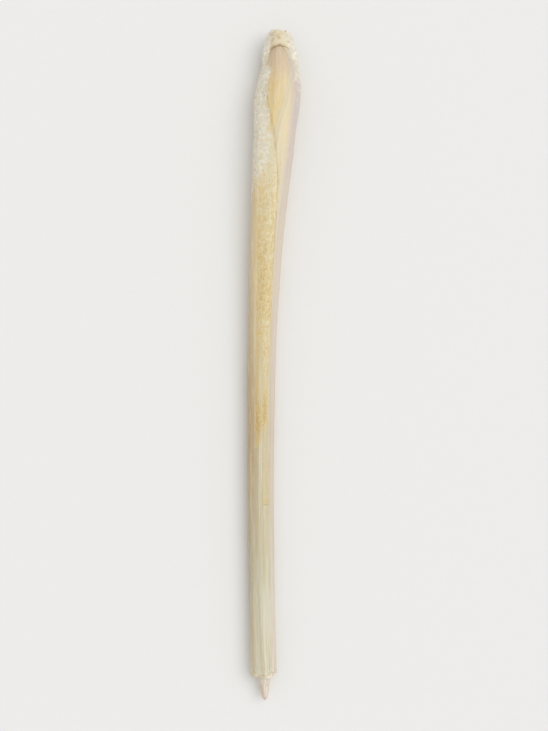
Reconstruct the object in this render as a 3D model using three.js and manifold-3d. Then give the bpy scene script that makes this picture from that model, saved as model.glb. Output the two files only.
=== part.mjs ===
// A trimmed lemongrass stalk that lies on a flat surface, in millimetres. Its root end points towards +Y
// and its leaf end towards -Y. Two leaf sheaths are rolled round a young shoot, and all three grow from a
// short hard stem base. A station is a distance along the stalk from its cut root end, and an angle is
// measured round the stalk from the top towards +X.
import * as THREE from "three";
import { mergeVertices } from "three/addons/utils/BufferGeometryUtils.js";
import Module from "manifold-3d";

const wasm = await Module();
wasm.setup();

// Lengthways dimensions
const STALK_LENGTH = 200;
const OUTER_START = 5.5;
const OUTER_END = 192;
const SECOND_START = 5.6;
const SECOND_END = 192.7;
const BASE_END = 30;
const SHOOT_START = 30.5;

// Half width of the closed stalk and sideways bend of its axis, as [station, value]
const HALF_WIDTH = [
  [OUTER_START, 4.05], [8, 4.75], [12, 5.65], [19.5, 6.7], [30, 6.25],
  [54, 5.3], [80, 4.5], [123, 3.97], [OUTER_END, 3.85],
];
const BEND = [
  [0, 3.55], [12, 3.4], [30, 2.25], [60, -0.2], [95, -1.7], [140, -2.05], [OUTER_END, -1.2],
  [STALK_LENGTH, -0.9],
];
const HEIGHT_TO_WIDTH = 0.94;

// Where the stalk lies on the surface, pressed flat by a little, and the height of its axis at both ends
const REST_STATIONS = [19.5, 105, 130, 160, 188];
const PRESSED_FLAT = 0.15;
const ROOT_HEIGHT = 6.35;
const TIP_HEIGHT = 3.4;

// Wall thicknesses, as [station, value], and the room between one layer and the next
const OUTER_WALL = [[OUTER_START, 0.65], [16, 0.95], [60, 0.85], [OUTER_END, 0.75]];
const SECOND_WALL = [[SECOND_START, 0.6], [16, 0.8], [60, 0.7], [OUTER_END, 0.6]];
const MARGIN_WALL = 0.6;
const LAYER_GAP = 0.27;

// Roll of the outer sheath in degrees, as [station, value]: where its free edge lies, and how far it runs on
// past a full turn. A negative overlap is the opening over the bulb.
const EDGE_ANGLE = [
  [OUTER_START, -45], [9, -66], [13, -55], [17, -42], [22, -29],
  [31.5, -3], [45, 26], [62, 35], [OUTER_END, 42],
];
const OVERLAP = [
  [OUTER_START, -62], [9, -108], [13, -92], [17, -68], [22, -44],
  [31.5, 0], [50, 38], [80, 55], [OUTER_END, 55],
];

// Where the edges overlap, the free one lifts and the covered one dips, over these turns in degrees
const EDGE_LIFT = 0.5;
const LIFT_START = 12;
const LIFT_END = 30;
const LIFT_TURN = 150;
const FAR_SIDE_TURN = 90;
const MARGIN_TURN = 60;

// The second sheath starts under the stalk and stops short of a full turn
const SECOND_EDGE_ANGLE = 172;
const SECOND_SLIT = 5;

// How unevenly each sheath is cut across at its leaf end, as waves round the cut with their phase in radians
const OUTER_CUT = [{ depth: 0.5, waves: 1, phase: 2.6 }, { depth: 0.2, waves: 5, phase: 0 }];
const SECOND_CUT = [{ depth: 0.3, waves: 1, phase: 1.2 }, { depth: 0.15, waves: 4, phase: 0 }];

// Parallel veins
const OUTER_VEINS = 30;
const SECOND_VEINS = 20;
const POINTS_PER_VEIN = 2;
const VEIN_HEIGHT = 0.07;

// Stem base, as [station, radius]: the bare stub with the ring of a node, and the neck inside the sheaths
const STUB = [[0, 2.55], [0.5, 2.95], [1.8, 3.25], [2.3, 3.2], [3.9, 3.5], [4.5, 3.85], [5.15, 3.85]];
const NECK = [[5.2, 2.3], [5.45, 1.6]];
const BASE_TIP_LENGTH = 8;
const BASE_TIP_SHARE = 0.05;
const BASE_SIDES = 24;

// Trimmed roots round the stub: each is one root turn and a random share of the spread further round than the
// last, and its radius and station are drawn from a range
const ROOT_COUNT = 11;
const ROOT_RADII = [0.26, 0.46];
const ROOT_STATIONS = [0.9, 3.9];
const ROOT_TURN = 137.5;
const ROOT_TURN_SPREAD = 40;
const ROOT_SINK = 0.14;
const ROOT_SIDES = 7;
const ROOT_RINGS = 5;
const SEED = 7;
const RANDOM_FACTOR = 16807;
const RANDOM_MODULUS = 2147483647;

// Young shoot: how its free tip narrows, as [station, share of the radius where it leaves the sheaths], and
// the step where its own leaf is rolled over itself
const TIP = [[OUTER_END, 1], [194, 0.97], [196.5, 0.82], [198.6, 0.6], [199.6, 0.4], [STALK_LENGTH, 0.12]];
const TIP_STATIONS = [194, 195.3, 196.5, 197.6, 198.6, 199.3, 199.75, STALK_LENGTH];
const SHOOT_SIDES = 20;
const SHOOT_EDGE_ANGLE = 25;
const SHOOT_STEP = 0.13;

// Rings of points along the stalk, closer together over the bulb
const RING_COUNT = 39;
const RING_CROWDING = 1.4;
const RING_CLEARANCE = 0.5;

const BASE_FINISH = { color: 0xe4d6b4, roughness: 0.6, metalness: 0 };
const OUTER_FINISH = { color: 0xe2d2a0, roughness: 0.5, metalness: 0 };
const SECOND_FINISH = { color: 0xe6cf92, roughness: 0.45, metalness: 0 };
const SHOOT_FINISH = { color: 0xeddcc4, roughness: 0.4, metalness: 0 };

const radians = THREE.MathUtils.degToRad;
const ease = (share) => THREE.MathUtils.smoothstep(share, 0, 1);

// A smooth function of the station through [station, value] knots
function along(knots) {
  const stations = knots.map(([station]) => station);
  const values = knots.map(([, value]) => value);
  const spline = new THREE.CubicInterpolant(stations, values, 1);
  return (station) => spline.evaluate(station)[0];
}

const halfWidth = along(HALF_WIDTH);
const bend = along(BEND);
const outerWall = along(OUTER_WALL);
const secondWall = along(SECOND_WALL);
const edgeAngle = along(EDGE_ANGLE);
const overlap = along(OVERLAP);
const tipShare = along(TIP);
const edgeLift = (station) => EDGE_LIFT * ease((station - LIFT_START) / (LIFT_END - LIFT_START));

const axisHeight = along([
  [0, ROOT_HEIGHT],
  ...REST_STATIONS.map((station) => [station, halfWidth(station) * HEIGHT_TO_WIDTH - PRESSED_FLAT]),
  [STALK_LENGTH, TIP_HEIGHT],
]);

// The point at a distance from the axis, kept above the surface
function pointAt(station, radius, angle) {
  const sideways = bend(station) + radius * Math.sin(radians(angle));
  const height = axisHeight(station) + radius * HEIGHT_TO_WIDTH * Math.cos(radians(angle));
  return [sideways, STALK_LENGTH / 2 - station, Math.max(0, height)];
}

// How far the layers under the outer sheath make room at an angle for its dipping edge
function dipUnder(station, angle) {
  const coveredEdge = edgeAngle(station) - overlap(station);
  const beside = THREE.MathUtils.euclideanModulo(angle - coveredEdge + 180, 360) - 180;
  return edgeLift(station) * ease(1 - (beside > 0 ? beside / LIFT_TURN : -beside / FAR_SIDE_TURN));
}

// Outside of the second sheath
function secondRadius(station, angle) {
  return halfWidth(station) - outerWall(station) - dipUnder(station, angle) - LAYER_GAP;
}

// Outside of what the second sheath holds
function coreRadius(station, angle) {
  return secondRadius(station, angle) - secondWall(station) - LAYER_GAP;
}

// Middle radius and thickness of the outer sheath at a turn in degrees from its free edge
function outerRoll(station, turn) {
  const turnLeft = 360 + overlap(station) - turn;
  const fromEdge = Math.min(turn, turnLeft) - Math.max(0, overlap(station));
  const rise = ease(1 - turn / LIFT_TURN) - ease(1 - turnLeft / LIFT_TURN);
  return {
    middle: halfWidth(station) - outerWall(station) / 2 + edgeLift(station) * rise,
    thickness: THREE.MathUtils.lerp(MARGIN_WALL, outerWall(station), ease(fromEdge / MARGIN_TURN)),
  };
}

function secondRoll(station, turn, angle) {
  return { middle: secondRadius(station, angle) - secondWall(station) / 2, thickness: secondWall(station) };
}

// How far past its end a sheath is cut at an angle
function cutDepth(cut, angle) {
  const waveAt = ({ depth, waves, phase }) => depth * Math.sin(waves * radians(angle) + phase);
  return cut.reduce((sum, wave) => sum + waveAt(wave), 0);
}

function ringStations(start, end) {
  const shared = Array.from({ length: RING_COUNT }, (_, k) =>
    THREE.MathUtils.lerp(OUTER_START, OUTER_END, (k / RING_COUNT) ** RING_CROWDING),
  );
  return [start, ...shared.filter((s) => s > start + RING_CLEARANCE && s < end - RING_CLEARANCE), end];
}

// One closed body through rings of points with the same count in each, closed by the given end faces
function loft(rings, endFaces) {
  const count = rings[0].length;
  const last = (rings.length - 1) * count;
  const faces = endFaces.flatMap(([a, b, c]) => [[a, c, b], [a + last, b + last, c + last]]);
  for (let ring = 0; ring < last; ring += count) {
    for (let i = 0; i < count; i++) {
      const [a, b] = [ring + i, ring + ((i + 1) % count)];
      faces.push([a, b, a + count], [b, b + count, a + count]);
    }
  }
  return indexedGeometry(rings.flat(2), faces.flat());
}

function indexedGeometry(positions, index) {
  const geometry = new THREE.BufferGeometry();
  geometry.setAttribute("position", new THREE.Float32BufferAttribute(positions, 3));
  geometry.setIndex(Array.from(index));
  geometry.computeVertexNormals();
  return geometry;
}

// End faces of a round body
function discFaces(sides) {
  return Array.from({ length: sides - 2 }, (_, i) => [0, i + 1, i + 2]);
}

// End faces of a rolled strip whose inner face has one point for each vein
function stripFaces(veins) {
  const innerPoint = (vein) => veins * POINTS_PER_VEIN + 1 + veins - vein;
  const faces = [];
  for (let vein = 0; vein < veins; vein++) {
    const first = vein * POINTS_PER_VEIN;
    for (let i = 0; i < POINTS_PER_VEIN; i++) faces.push([first + i, first + i + 1, innerPoint(vein)]);
    faces.push([first + POINTS_PER_VEIN, innerPoint(vein + 1), innerPoint(vein)]);
  }
  return faces;
}

// A rolled leaf sheath, veined outside and plain inside, cut across unevenly at its leaf end
function sheathGeometry({ start, end, veins, edge, width, roll, cut }) {
  const rings = ringStations(start, end).map((station) => {
    const place = (share, side, relief) => {
      const turn = share * width(station);
      const angle = edge(station) - turn;
      const { middle, thickness } = roll(station, turn, angle);
      const trim = station === end ? cutDepth(cut, angle) : 0;
      return pointAt(station + trim, middle + (side * thickness) / 2 + relief, angle);
    };
    const steps = veins * POINTS_PER_VEIN;
    const outside = Array.from({ length: steps + 1 }, (_, i) =>
      place(i / steps, 1, i % POINTS_PER_VEIN === 1 ? VEIN_HEIGHT : 0),
    );
    const inside = Array.from({ length: veins + 1 }, (_, i) => place(1 - i / veins, -1, 0));
    return [...outside, ...inside];
  });
  return loft(rings, stripFaces(veins));
}

function outerSheath() {
  return sheathGeometry({
    start: OUTER_START,
    end: OUTER_END,
    veins: OUTER_VEINS,
    edge: edgeAngle,
    width: (station) => 360 + overlap(station),
    roll: outerRoll,
    cut: OUTER_CUT,
  });
}

function secondSheath() {
  return sheathGeometry({
    start: SECOND_START,
    end: SECOND_END,
    veins: SECOND_VEINS,
    edge: () => SECOND_EDGE_ANGLE,
    width: () => 360 - SECOND_SLIT,
    roll: secondRoll,
    cut: SECOND_CUT,
  });
}

// A round body, whose radius may change with the angle and with the share of a turn from a starting angle
function roundGeometry(stations, radius, sides, startAngle = 0) {
  const rings = stations.map((station) =>
    Array.from({ length: sides }, (_, i) => {
      const share = i / sides;
      const angle = startAngle - 360 * share;
      return pointAt(station, radius(station, angle, share), angle);
    }),
  );
  return loft(rings, discFaces(sides));
}

function stemCore() {
  const bare = [...STUB, ...NECK];
  const bareRadius = along(bare);
  const radius = (station, angle) => {
    if (station < SECOND_START) return bareRadius(station);
    const beforeTip = (BASE_END - station) / BASE_TIP_LENGTH;
    return coreRadius(station, angle) * Math.sqrt(THREE.MathUtils.clamp(beforeTip, BASE_TIP_SHARE, 1));
  };
  const stations = [...bare.map(([station]) => station), ...ringStations(SECOND_START, BASE_END)];
  return roundGeometry(stations, radius, BASE_SIDES);
}

function solid(geometry) {
  geometry.deleteAttribute("normal");
  geometry.deleteAttribute("uv");
  const { attributes, index } = mergeVertices(geometry);
  const [vertProperties, triVerts] = [attributes.position.array, index.array];
  return new wasm.Manifold(new wasm.Mesh({ numProp: 3, vertProperties, triVerts }));
}

// Repeatable numbers from 0 to 1
function makeRandom(seed) {
  let state = seed;
  return () => {
    state = (state * RANDOM_FACTOR) % RANDOM_MODULUS;
    return state / RANDOM_MODULUS;
  };
}

function stemBase() {
  const random = makeRandom(SEED);
  const stub = along(STUB);
  let base = solid(stemCore());
  for (let i = 0; i < ROOT_COUNT; i++) {
    const station = THREE.MathUtils.lerp(...ROOT_STATIONS, random());
    const angle = ROOT_TURN * i + ROOT_TURN_SPREAD * random();
    const radius = THREE.MathUtils.lerp(...ROOT_RADII, random());
    const root = new THREE.SphereGeometry(radius, ROOT_SIDES, ROOT_RINGS);
    root.translate(...pointAt(station, stub(station) - ROOT_SINK, angle));
    base = base.add(solid(root));
  }
  const { vertProperties, triVerts } = base.getMesh();
  return indexedGeometry(vertProperties, triVerts);
}

function innerShoot() {
  const stations = [...ringStations(SHOOT_START, OUTER_END), ...TIP_STATIONS];
  const radius = (station, angle, share) =>
    coreRadius(Math.min(station, OUTER_END), angle) * tipShare(station) * (1 - SHOOT_STEP * share);
  return roundGeometry(stations, radius, SHOOT_SIDES, SHOOT_EDGE_ANGLE);
}

function piece(name, geometry, finish) {
  const mesh = new THREE.Mesh(geometry, new THREE.MeshStandardMaterial(finish));
  mesh.name = name;
  return mesh;
}

const stalk = new THREE.Group();
stalk.add(
  piece("stem_base", stemBase(), BASE_FINISH),
  piece("outer_sheath", outerSheath(), OUTER_FINISH),
  piece("second_sheath", secondSheath(), SECOND_FINISH),
  piece("inner_shoot", innerShoot(), SHOOT_FINISH),
);

// The origin is the middle of the surface under the stalk
const box = new THREE.Box3().setFromObject(stalk);
const centre = box.getCenter(new THREE.Vector3());
stalk.position.set(-centre.x, -centre.y, -box.min.z);

export default stalk;
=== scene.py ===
"""A frozen, trimmed lemongrass stalk that lies on a pale surface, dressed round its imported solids.

The stalk's own measures are in millimetres. A station is a distance along the stalk from its cut root end,
and an angle is measured in degrees round the stalk, from the top towards +X. Finished meshes are in metres.
"""

import logging
import math
from collections.abc import Callable, Sequence
from dataclasses import dataclass, field
from enum import Enum

import bpy
import numpy as np
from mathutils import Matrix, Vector


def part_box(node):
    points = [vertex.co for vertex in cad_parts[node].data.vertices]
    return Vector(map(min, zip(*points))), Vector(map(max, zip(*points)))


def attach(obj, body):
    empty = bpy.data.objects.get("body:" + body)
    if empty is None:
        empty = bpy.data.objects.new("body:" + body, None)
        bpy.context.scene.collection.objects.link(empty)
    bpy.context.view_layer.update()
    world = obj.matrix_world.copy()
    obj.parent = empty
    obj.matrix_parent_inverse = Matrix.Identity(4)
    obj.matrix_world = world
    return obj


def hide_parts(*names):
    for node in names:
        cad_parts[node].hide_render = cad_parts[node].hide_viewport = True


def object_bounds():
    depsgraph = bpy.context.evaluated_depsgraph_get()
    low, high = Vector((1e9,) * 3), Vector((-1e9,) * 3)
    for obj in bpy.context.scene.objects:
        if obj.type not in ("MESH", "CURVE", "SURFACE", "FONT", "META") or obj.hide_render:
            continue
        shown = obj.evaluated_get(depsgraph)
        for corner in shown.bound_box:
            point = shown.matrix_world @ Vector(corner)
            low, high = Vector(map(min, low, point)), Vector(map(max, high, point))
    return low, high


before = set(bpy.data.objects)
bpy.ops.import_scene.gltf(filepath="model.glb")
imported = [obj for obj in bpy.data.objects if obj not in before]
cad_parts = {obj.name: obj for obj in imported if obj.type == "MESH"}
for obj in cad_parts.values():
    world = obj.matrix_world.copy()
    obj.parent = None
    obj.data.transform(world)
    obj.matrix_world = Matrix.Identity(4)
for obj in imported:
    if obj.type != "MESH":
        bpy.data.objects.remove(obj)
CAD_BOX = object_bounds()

Array = np.ndarray
Colour = tuple[float, float, float]
Knots = Sequence[tuple[float, float]]
Tones = Sequence[tuple[float, Colour]]
Socket = bpy.types.NodeSocket
Feed = Socket | float | tuple | str | None
Feeds = dict[int | str, Feed]
Material = bpy.types.Material
Object = bpy.types.Object

LOG = logging.getLogger("lemongrass")
BODY = "root"
MM = 0.001
HALF_TURN = 180.0
FULL_TURN = 360.0
NOISE_MIDDLE = 0.5
LEAF_SPAN = 30.0  # what a leaf's "across" value counts up to, however wide the leaf is


class Node(Enum):
    """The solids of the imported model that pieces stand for."""

    STEM_BASE = "stem_base"
    OUTER_SHEATH = "outer_sheath"
    SECOND_SHEATH = "second_sheath"
    INNER_SHOOT = "inner_shoot"


class Field(Enum):
    """The names of the values that the meshes carry from point to point."""

    STATION = "station"
    ACROSS = "across"
    SKIN = "skin"
    RIM = "rim"
    FROST = "frost"
    HAZE = "haze"
    # How much of the right flank's pale cast lies on a point: partly a frosty cast, partly a painted pinkish
    # sheen of reflected light.
    WET = "wet"
    # How much painted shade lies on a point of the left flank.
    SHADE = "shade"
    SCAR = "scar"
    FACING = "facing"
    WIDTH = "width"
    CUT_FACE = "cut_face"


Carried = dict[Field, Array]
Stops = tuple[tuple[float, int], ...]

# ---------------------------------------- sums


def ease(share: Array | float) -> Array:
    """Returns a smooth step from 0 to 1 as the share runs from 0 to 1."""
    t = np.clip(share, 0.0, 1.0)
    return t * t * (3.0 - 2.0 * t)


def wrapped(angle: Array) -> Array:
    """Returns an angle as the same one between -180 and 180 degrees."""
    return (angle + HALF_TURN) % FULL_TURN - HALF_TURN


def along(knots: Knots) -> Callable[[Array | float], Array]:
    """Makes a smooth function of the station.

    Args:
        knots: the [station, value] pairs that it passes through.

    Returns:
        The function, which keeps its end values outside the knots.
    """
    x, y = np.array(knots, float).T
    slope = np.gradient(y, x)

    def value(station: Array | float) -> Array:
        """Returns the value at a station, on a cubic between the two knots beside it.

        Args:
            station: the station.

        Returns:
            The value.
        """
        s = np.clip(station, x[0], x[-1])
        i = np.clip(np.searchsorted(x, s, side="right") - 1, 0, len(x) - 2)
        span = x[i + 1] - x[i]
        t = (s - x[i]) / span
        start = y[i] * (2 * t**3 - 3 * t**2 + 1) + slope[i] * span * (t**3 - 2 * t**2 + t)
        return start + y[i + 1] * (3 * t**2 - 2 * t**3) + slope[i + 1] * span * (t**3 - t**2)

    return value


@dataclass(frozen=True)
class Ripple:
    """One layer of unevenness: its strength, its size each way, and its shift on the second way."""

    strength: float
    length: float
    turn: float = 1.0
    shift: float = 0.0


class Waver:
    """Smooth, repeatable unevenness from -1 to 1 over a plane."""

    SIZE = 97

    def __init__(self, seed: int) -> None:
        """Draws the lattice of values that the seed gives."""
        self.lattice = np.random.default_rng(seed).uniform(-1.0, 1.0, (self.SIZE, self.SIZE))

    def __call__(self, u: Array | float, v: Array | float = 0.0) -> Array:
        """Returns the value at (u, v), which changes over distances of about 1.

        Args:
            u: the points' places one way.
            v: their places the other way.

        Returns:
            The value at each point, from -1 to 1.
        """
        u, v = np.broadcast_arrays(np.asarray(u, float), np.asarray(v, float))
        iu, iv = np.floor(u).astype(int), np.floor(v).astype(int)
        fu, fv = ease(u - iu), ease(v - iv)
        grid, size = self.lattice, self.SIZE
        near = grid[iu % size, iv % size] * (1 - fu) + grid[(iu + 1) % size, iv % size] * fu
        far = grid[iu % size, (iv + 1) % size] * (1 - fu) + grid[(iu + 1) % size, (iv + 1) % size] * fu
        return near * (1 - fv) + far * fv

    def layers(
        self, u: Array, v: Array | float, ripples: Sequence[Ripple], base: Array | float = 0.0
    ) -> Array:
        """Adds layers of unevenness up.

        Args:
            u: the points' places one way, such as their stations.
            v: their places the other way, such as their angles.
            ripples: the layers.
            base: what they are added to.

        Returns:
            The sum at each point.
        """
        for ripple in ripples:
            base = base + ripple.strength * self(u / ripple.length, v / ripple.turn + ripple.shift)
        return base


def rgb(red: int, green: int, blue: int) -> Colour:
    """Returns a screen colour, 0 to 255 a channel, as the linear colour that shaders take."""
    shares = (channel / 255 for channel in (red, green, blue))
    return tuple(c / 12.92 if c <= 0.04045 else ((c + 0.055) / 1.055) ** 2.4 for c in shares)


# ---------------------------------------- tones

# Each table runs along the whole stalk, as shares of its length from the cut root end.

OUTER_TONES = (
    (0.02, rgb(216, 196, 164)),
    (0.07, rgb(220, 201, 168)),
    (0.13, rgb(229, 211, 172)),
    (0.24, rgb(234, 217, 180)),
    (0.40, rgb(233, 216, 178)),
    (0.50, rgb(222, 205, 168)),
    (0.60, rgb(210, 193, 158)),
    (0.76, rgb(209, 198, 168)),
    (0.87, rgb(220, 212, 188)),
    (0.97, rgb(216, 207, 184)),
)
SECOND_TONES = (
    (0.028, rgb(196, 174, 143)),
    (0.037, rgb(208, 187, 159)),
    (0.055, rgb(211, 190, 161)),
    (0.085, rgb(222, 202, 160)),
    (0.15, rgb(232, 212, 156)),
    (0.93, rgb(228, 218, 184)),
    (0.957, rgb(237, 225, 209)),
)
SHOOT_TONES = (
    (0.90, rgb(232, 222, 196)),
    (0.96, rgb(240, 229, 214)),
    (0.98, rgb(242, 226, 216)),
    (1.0, rgb(238, 210, 190)),
)
# Painted shade: darker tan and grey tones laid on the left flank where shade falls, over the flank's own tan.
SHADE_TONES = (
    (0.05, rgb(196, 170, 126)),
    (0.45, rgb(191, 168, 130)),
    (0.62, rgb(179, 157, 124)),
    (0.80, rgb(182, 171, 144)),
    (0.95, rgb(186, 178, 158)),
)


# ---------------------------------------- nodes


@dataclass(frozen=True)
class Grain:
    """A noise: how fine it is, how many finer layers it has and how much they weigh."""

    scale: float
    detail: float = 2.0
    roughness: float = 0.5


@dataclass(frozen=True)
class Drawn:
    """A noise that is drawn out along a leaf: its scales across and along it, its grain and its layer."""

    across: float
    along: float
    grain: Grain
    layer: float = 0.0


@dataclass(frozen=True)
class Rise:
    """A smooth rise from 0 to a full strength, as a value goes from low to high."""

    low: float
    high: float
    full: float = 1.0


class Graph:
    """A short way to add linked nodes to a material or to a Geometry Nodes tree."""

    def __init__(self, tree: bpy.types.NodeTree) -> None:
        """Takes the tree that the nodes go into."""
        self.tree = tree

    def add(self, kind: str, feeds: Feeds | None = None, **settings: object) -> bpy.types.Node:
        """Adds one node.

        Args:
            kind: Blender's type name of the node.
            feeds: what goes into its sockets, by name or number: a socket to link, or a value.
            settings: its other properties.

        Returns:
            The node.
        """
        node = self.tree.nodes.new(kind)
        for name, value in settings.items():
            setattr(node, name, value)
        for key, value in (feeds or {}).items():
            if isinstance(value, Socket):
                self.tree.links.new(value, node.inputs[key])
            elif value is not None:
                node.inputs[key].default_value = value
        return node

    def math(self, operation: str, a: Feed, b: Feed = None, c: Feed = None) -> Socket:
        """Returns the result of a Math node."""
        return self.add("ShaderNodeMath", {0: a, 1: b, 2: c}, operation=operation).outputs[0]

    def times(self, a: Feed, b: Feed) -> Socket:
        """Returns a times b."""
        return self.math("MULTIPLY", a, b)

    def times_plus(self, a: Feed, b: Feed, c: Feed) -> Socket:
        """Returns a times b, plus c."""
        return self.math("MULTIPLY_ADD", a, b, c)

    def plus(self, a: Feed, b: Feed) -> Socket:
        """Returns a plus b."""
        return self.math("ADD", a, b)

    def minus(self, a: Feed, b: Feed) -> Socket:
        """Returns a minus b."""
        return self.math("SUBTRACT", a, b)

    def rest_of(self, share: Feed) -> Socket:
        """Returns what a share leaves of 1."""
        return self.minus(1.0, share)

    def rise(self, value: Feed, rise: Rise) -> Socket:
        """Returns how far a value has risen, from 0 to the rise's full strength.

        Args:
            value: the value.
            rise: where it rises, and how far.

        Returns:
            The risen value.
        """
        feeds = {"Value": value, "From Min": rise.low, "From Max": rise.high}
        risen = self.add("ShaderNodeMapRange", feeds, interpolation_type="SMOOTHSTEP").outputs[0]
        return risen if rise.full == 1.0 else self.times(risen, rise.full)

    def mix(self, share: Feed, a: Feed, b: Feed) -> Socket:
        """Returns a mix of two colours, with the share of the second."""
        colours = {6: self.opaque(a), 7: self.opaque(b), 0: share}
        return self.add("ShaderNodeMix", colours, data_type="RGBA").outputs[2]

    def opaque(self, colour: Feed) -> Feed:
        """Returns a plain colour with the fourth channel that sockets want."""
        return (*colour, 1.0) if isinstance(colour, tuple) and len(colour) == 3 else colour

    def ramp(self, value: Feed, stops: Tones) -> Socket:
        """Returns the colour that a ramp gives a value.

        Args:
            value: the value.
            stops: the ramp's places and colours.

        Returns:
            The colour.
        """
        node = self.add("ShaderNodeValToRGB", {0: value})
        elements = node.color_ramp.elements
        for element, (position, colour) in zip((elements[0], elements[1]), (stops[0], stops[-1])):
            element.position, element.color = position, self.opaque(colour)
        for position, colour in stops[1:-1]:
            elements.new(position).color = self.opaque(colour)
        return node.outputs[0]

    def vector(self, x: Feed, y: Feed, z: Feed) -> Socket:
        """Returns a vector made of three values."""
        return self.add("ShaderNodeCombineXYZ", {0: x, 1: y, 2: z}).outputs[0]

    def scaled(self, vector: Feed, amount: Feed) -> Socket:
        """Returns a vector times a value."""
        return self.add("ShaderNodeVectorMath", {0: vector, "Scale": amount}, operation="SCALE").outputs[0]

    def noise(self, where: Feed, grain: Grain) -> Socket:
        """Returns smooth noise from 0 to 1 at a vector."""
        feeds = {"Vector": where, "Scale": grain.scale, "Detail": grain.detail, "Roughness": grain.roughness}
        return self.add("ShaderNodeTexNoise", feeds).outputs[0]

    def drawn_noise(self, across: Feed, station: Feed, drawn: Drawn, offset: float = 0.0) -> Socket:
        """Returns noise from 0 to 1 that is drawn out along a leaf, moved on by an offset."""
        x = across if drawn.across == 1.0 else self.times(across, drawn.across)
        return self.noise(self.vector(x, self.times(station, drawn.along), drawn.layer + offset), drawn.grain)

    def centred(self, noise: Feed) -> Socket:
        """Returns noise that goes to both sides of 0."""
        return self.minus(noise, NOISE_MIDDLE)


class Growth(Graph):
    """A Geometry Nodes tree with named inputs, run once over a mesh."""

    def __init__(self, name: str) -> None:
        """Starts a tree that has a geometry input and a geometry output.

        Args:
            name: the tree's name.
        """
        super().__init__(bpy.data.node_groups.new(name, "GeometryNodeTree"))
        for way in ("INPUT", "OUTPUT"):
            self.tree.interface.new_socket("Geometry", in_out=way, socket_type="NodeSocketGeometry")
        self.source = self.add("NodeGroupInput")
        self.values: dict[str, object] = {}

    def input(self, name: str, kind: str, value: object) -> Socket:
        """Adds a named input.

        Args:
            name: the input's name.
            kind: its socket type, such as Float.
            value: what the run gives it.

        Returns:
            The socket to link from.
        """
        item = self.tree.interface.new_socket(name, in_out="INPUT", socket_type=f"NodeSocket{kind}")
        self.values[item.identifier] = value
        return self.source.outputs[name]

    @property
    def geometry(self) -> Socket:
        """The geometry that comes in."""
        return self.source.outputs["Geometry"]

    def carried(self, name: Field, kind: str = "FLOAT") -> Socket:
        """Returns a value that the mesh carries."""
        node = self.add("GeometryNodeInputNamedAttribute", {"Name": name.value}, data_type=kind)
        return node.outputs["Attribute"]

    def position(self) -> Socket:
        """Returns the place of each point."""
        return self.add("GeometryNodeInputPosition").outputs[0]

    def cone(self, feeds: Feeds) -> Socket:
        """Returns a cone with closed ends."""
        return self.add("GeometryNodeMeshCone", feeds, fill_type="TRIANGLE_FAN").outputs["Mesh"]

    def facing(self) -> Socket:
        """Returns the turn that lays a shape's Z axis along the direction that a point carries."""
        feeds = {"Vector": self.carried(Field.FACING, "FLOAT_VECTOR")}
        return self.add("FunctionNodeAlignRotationToVector", feeds, axis="Z").outputs[0]

    def set_out(self, shape: Socket, points: Socket, rotation: Socket, scale: Feed) -> Socket:
        """Returns copies of a shape, one on each point."""
        feeds = {"Points": points, "Instance": shape, "Rotation": rotation, "Scale": scale}
        return self.add("GeometryNodeInstanceOnPoints", feeds).outputs[0]

    def above_floor(self, geometry: Socket) -> Socket:
        """Returns the geometry with every point that is below the floor lifted onto it.

        Args:
            geometry: the geometry.

        Returns:
            The lifted geometry.
        """
        x, y, z = self.add("ShaderNodeSeparateXYZ", {0: self.position()}).outputs
        lifted = self.vector(x, y, self.math("MAXIMUM", z, 0.0))
        return self.add("GeometryNodeSetPosition", {"Geometry": geometry, "Position": lifted}).outputs[0]

    def run(self, piece: Object, geometry: Socket, material: Material, cut: Material | None = None) -> Object:
        """Ends the tree in Realize Instances and Set Material, and turns a piece into what it makes.

        Args:
            piece: the piece that the tree runs over.
            geometry: what the tree has made.
            material: what it is made of.
            cut: what the faces marked as cut are made of.

        Returns:
            The piece, as a plain mesh.
        """
        realized = self.add("GeometryNodeRealizeInstances", {0: geometry})
        skin = self.input("Material", "Material", material)
        feeds = {"Geometry": self.above_floor(realized.outputs[0]), "Material": skin}
        dressed = self.add("GeometryNodeSetMaterial", feeds)
        if cut is not None:
            marked = self.carried(Field.CUT_FACE, "BOOLEAN")
            inside = self.input("Cut Material", "Material", cut)
            feeds = {"Geometry": dressed.outputs[0], "Selection": marked, "Material": inside}
            dressed = self.add("GeometryNodeSetMaterial", feeds)
        self.add("NodeGroupOutput", {0: dressed.outputs[0]})
        modifier = piece.modifiers.new(self.tree.name, "NODES")
        modifier.node_group = self.tree
        for identifier, value in self.values.items():
            modifier[identifier] = value
        depsgraph = bpy.context.evaluated_depsgraph_get()
        made = bpy.data.meshes.new_from_object(
            piece.evaluated_get(depsgraph), preserve_all_data_layers=True, depsgraph=depsgraph
        )
        piece.modifiers.clear()
        piece.data = made
        for number in reversed(range(len(made.materials))):
            if made.materials[number] is None:
                made.materials.pop(index=number)
        return piece


# ---------------------------------------- meshes


def new_object(name: str, data: bpy.types.ID) -> Object:
    """Returns a new object at the origin, linked to the scene.

    Args:
        name: the object's name.
        data: its mesh, light or camera.

    Returns:
        The object.
    """
    made = bpy.data.objects.new(name, data)
    bpy.context.scene.collection.objects.link(made)
    return made


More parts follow.
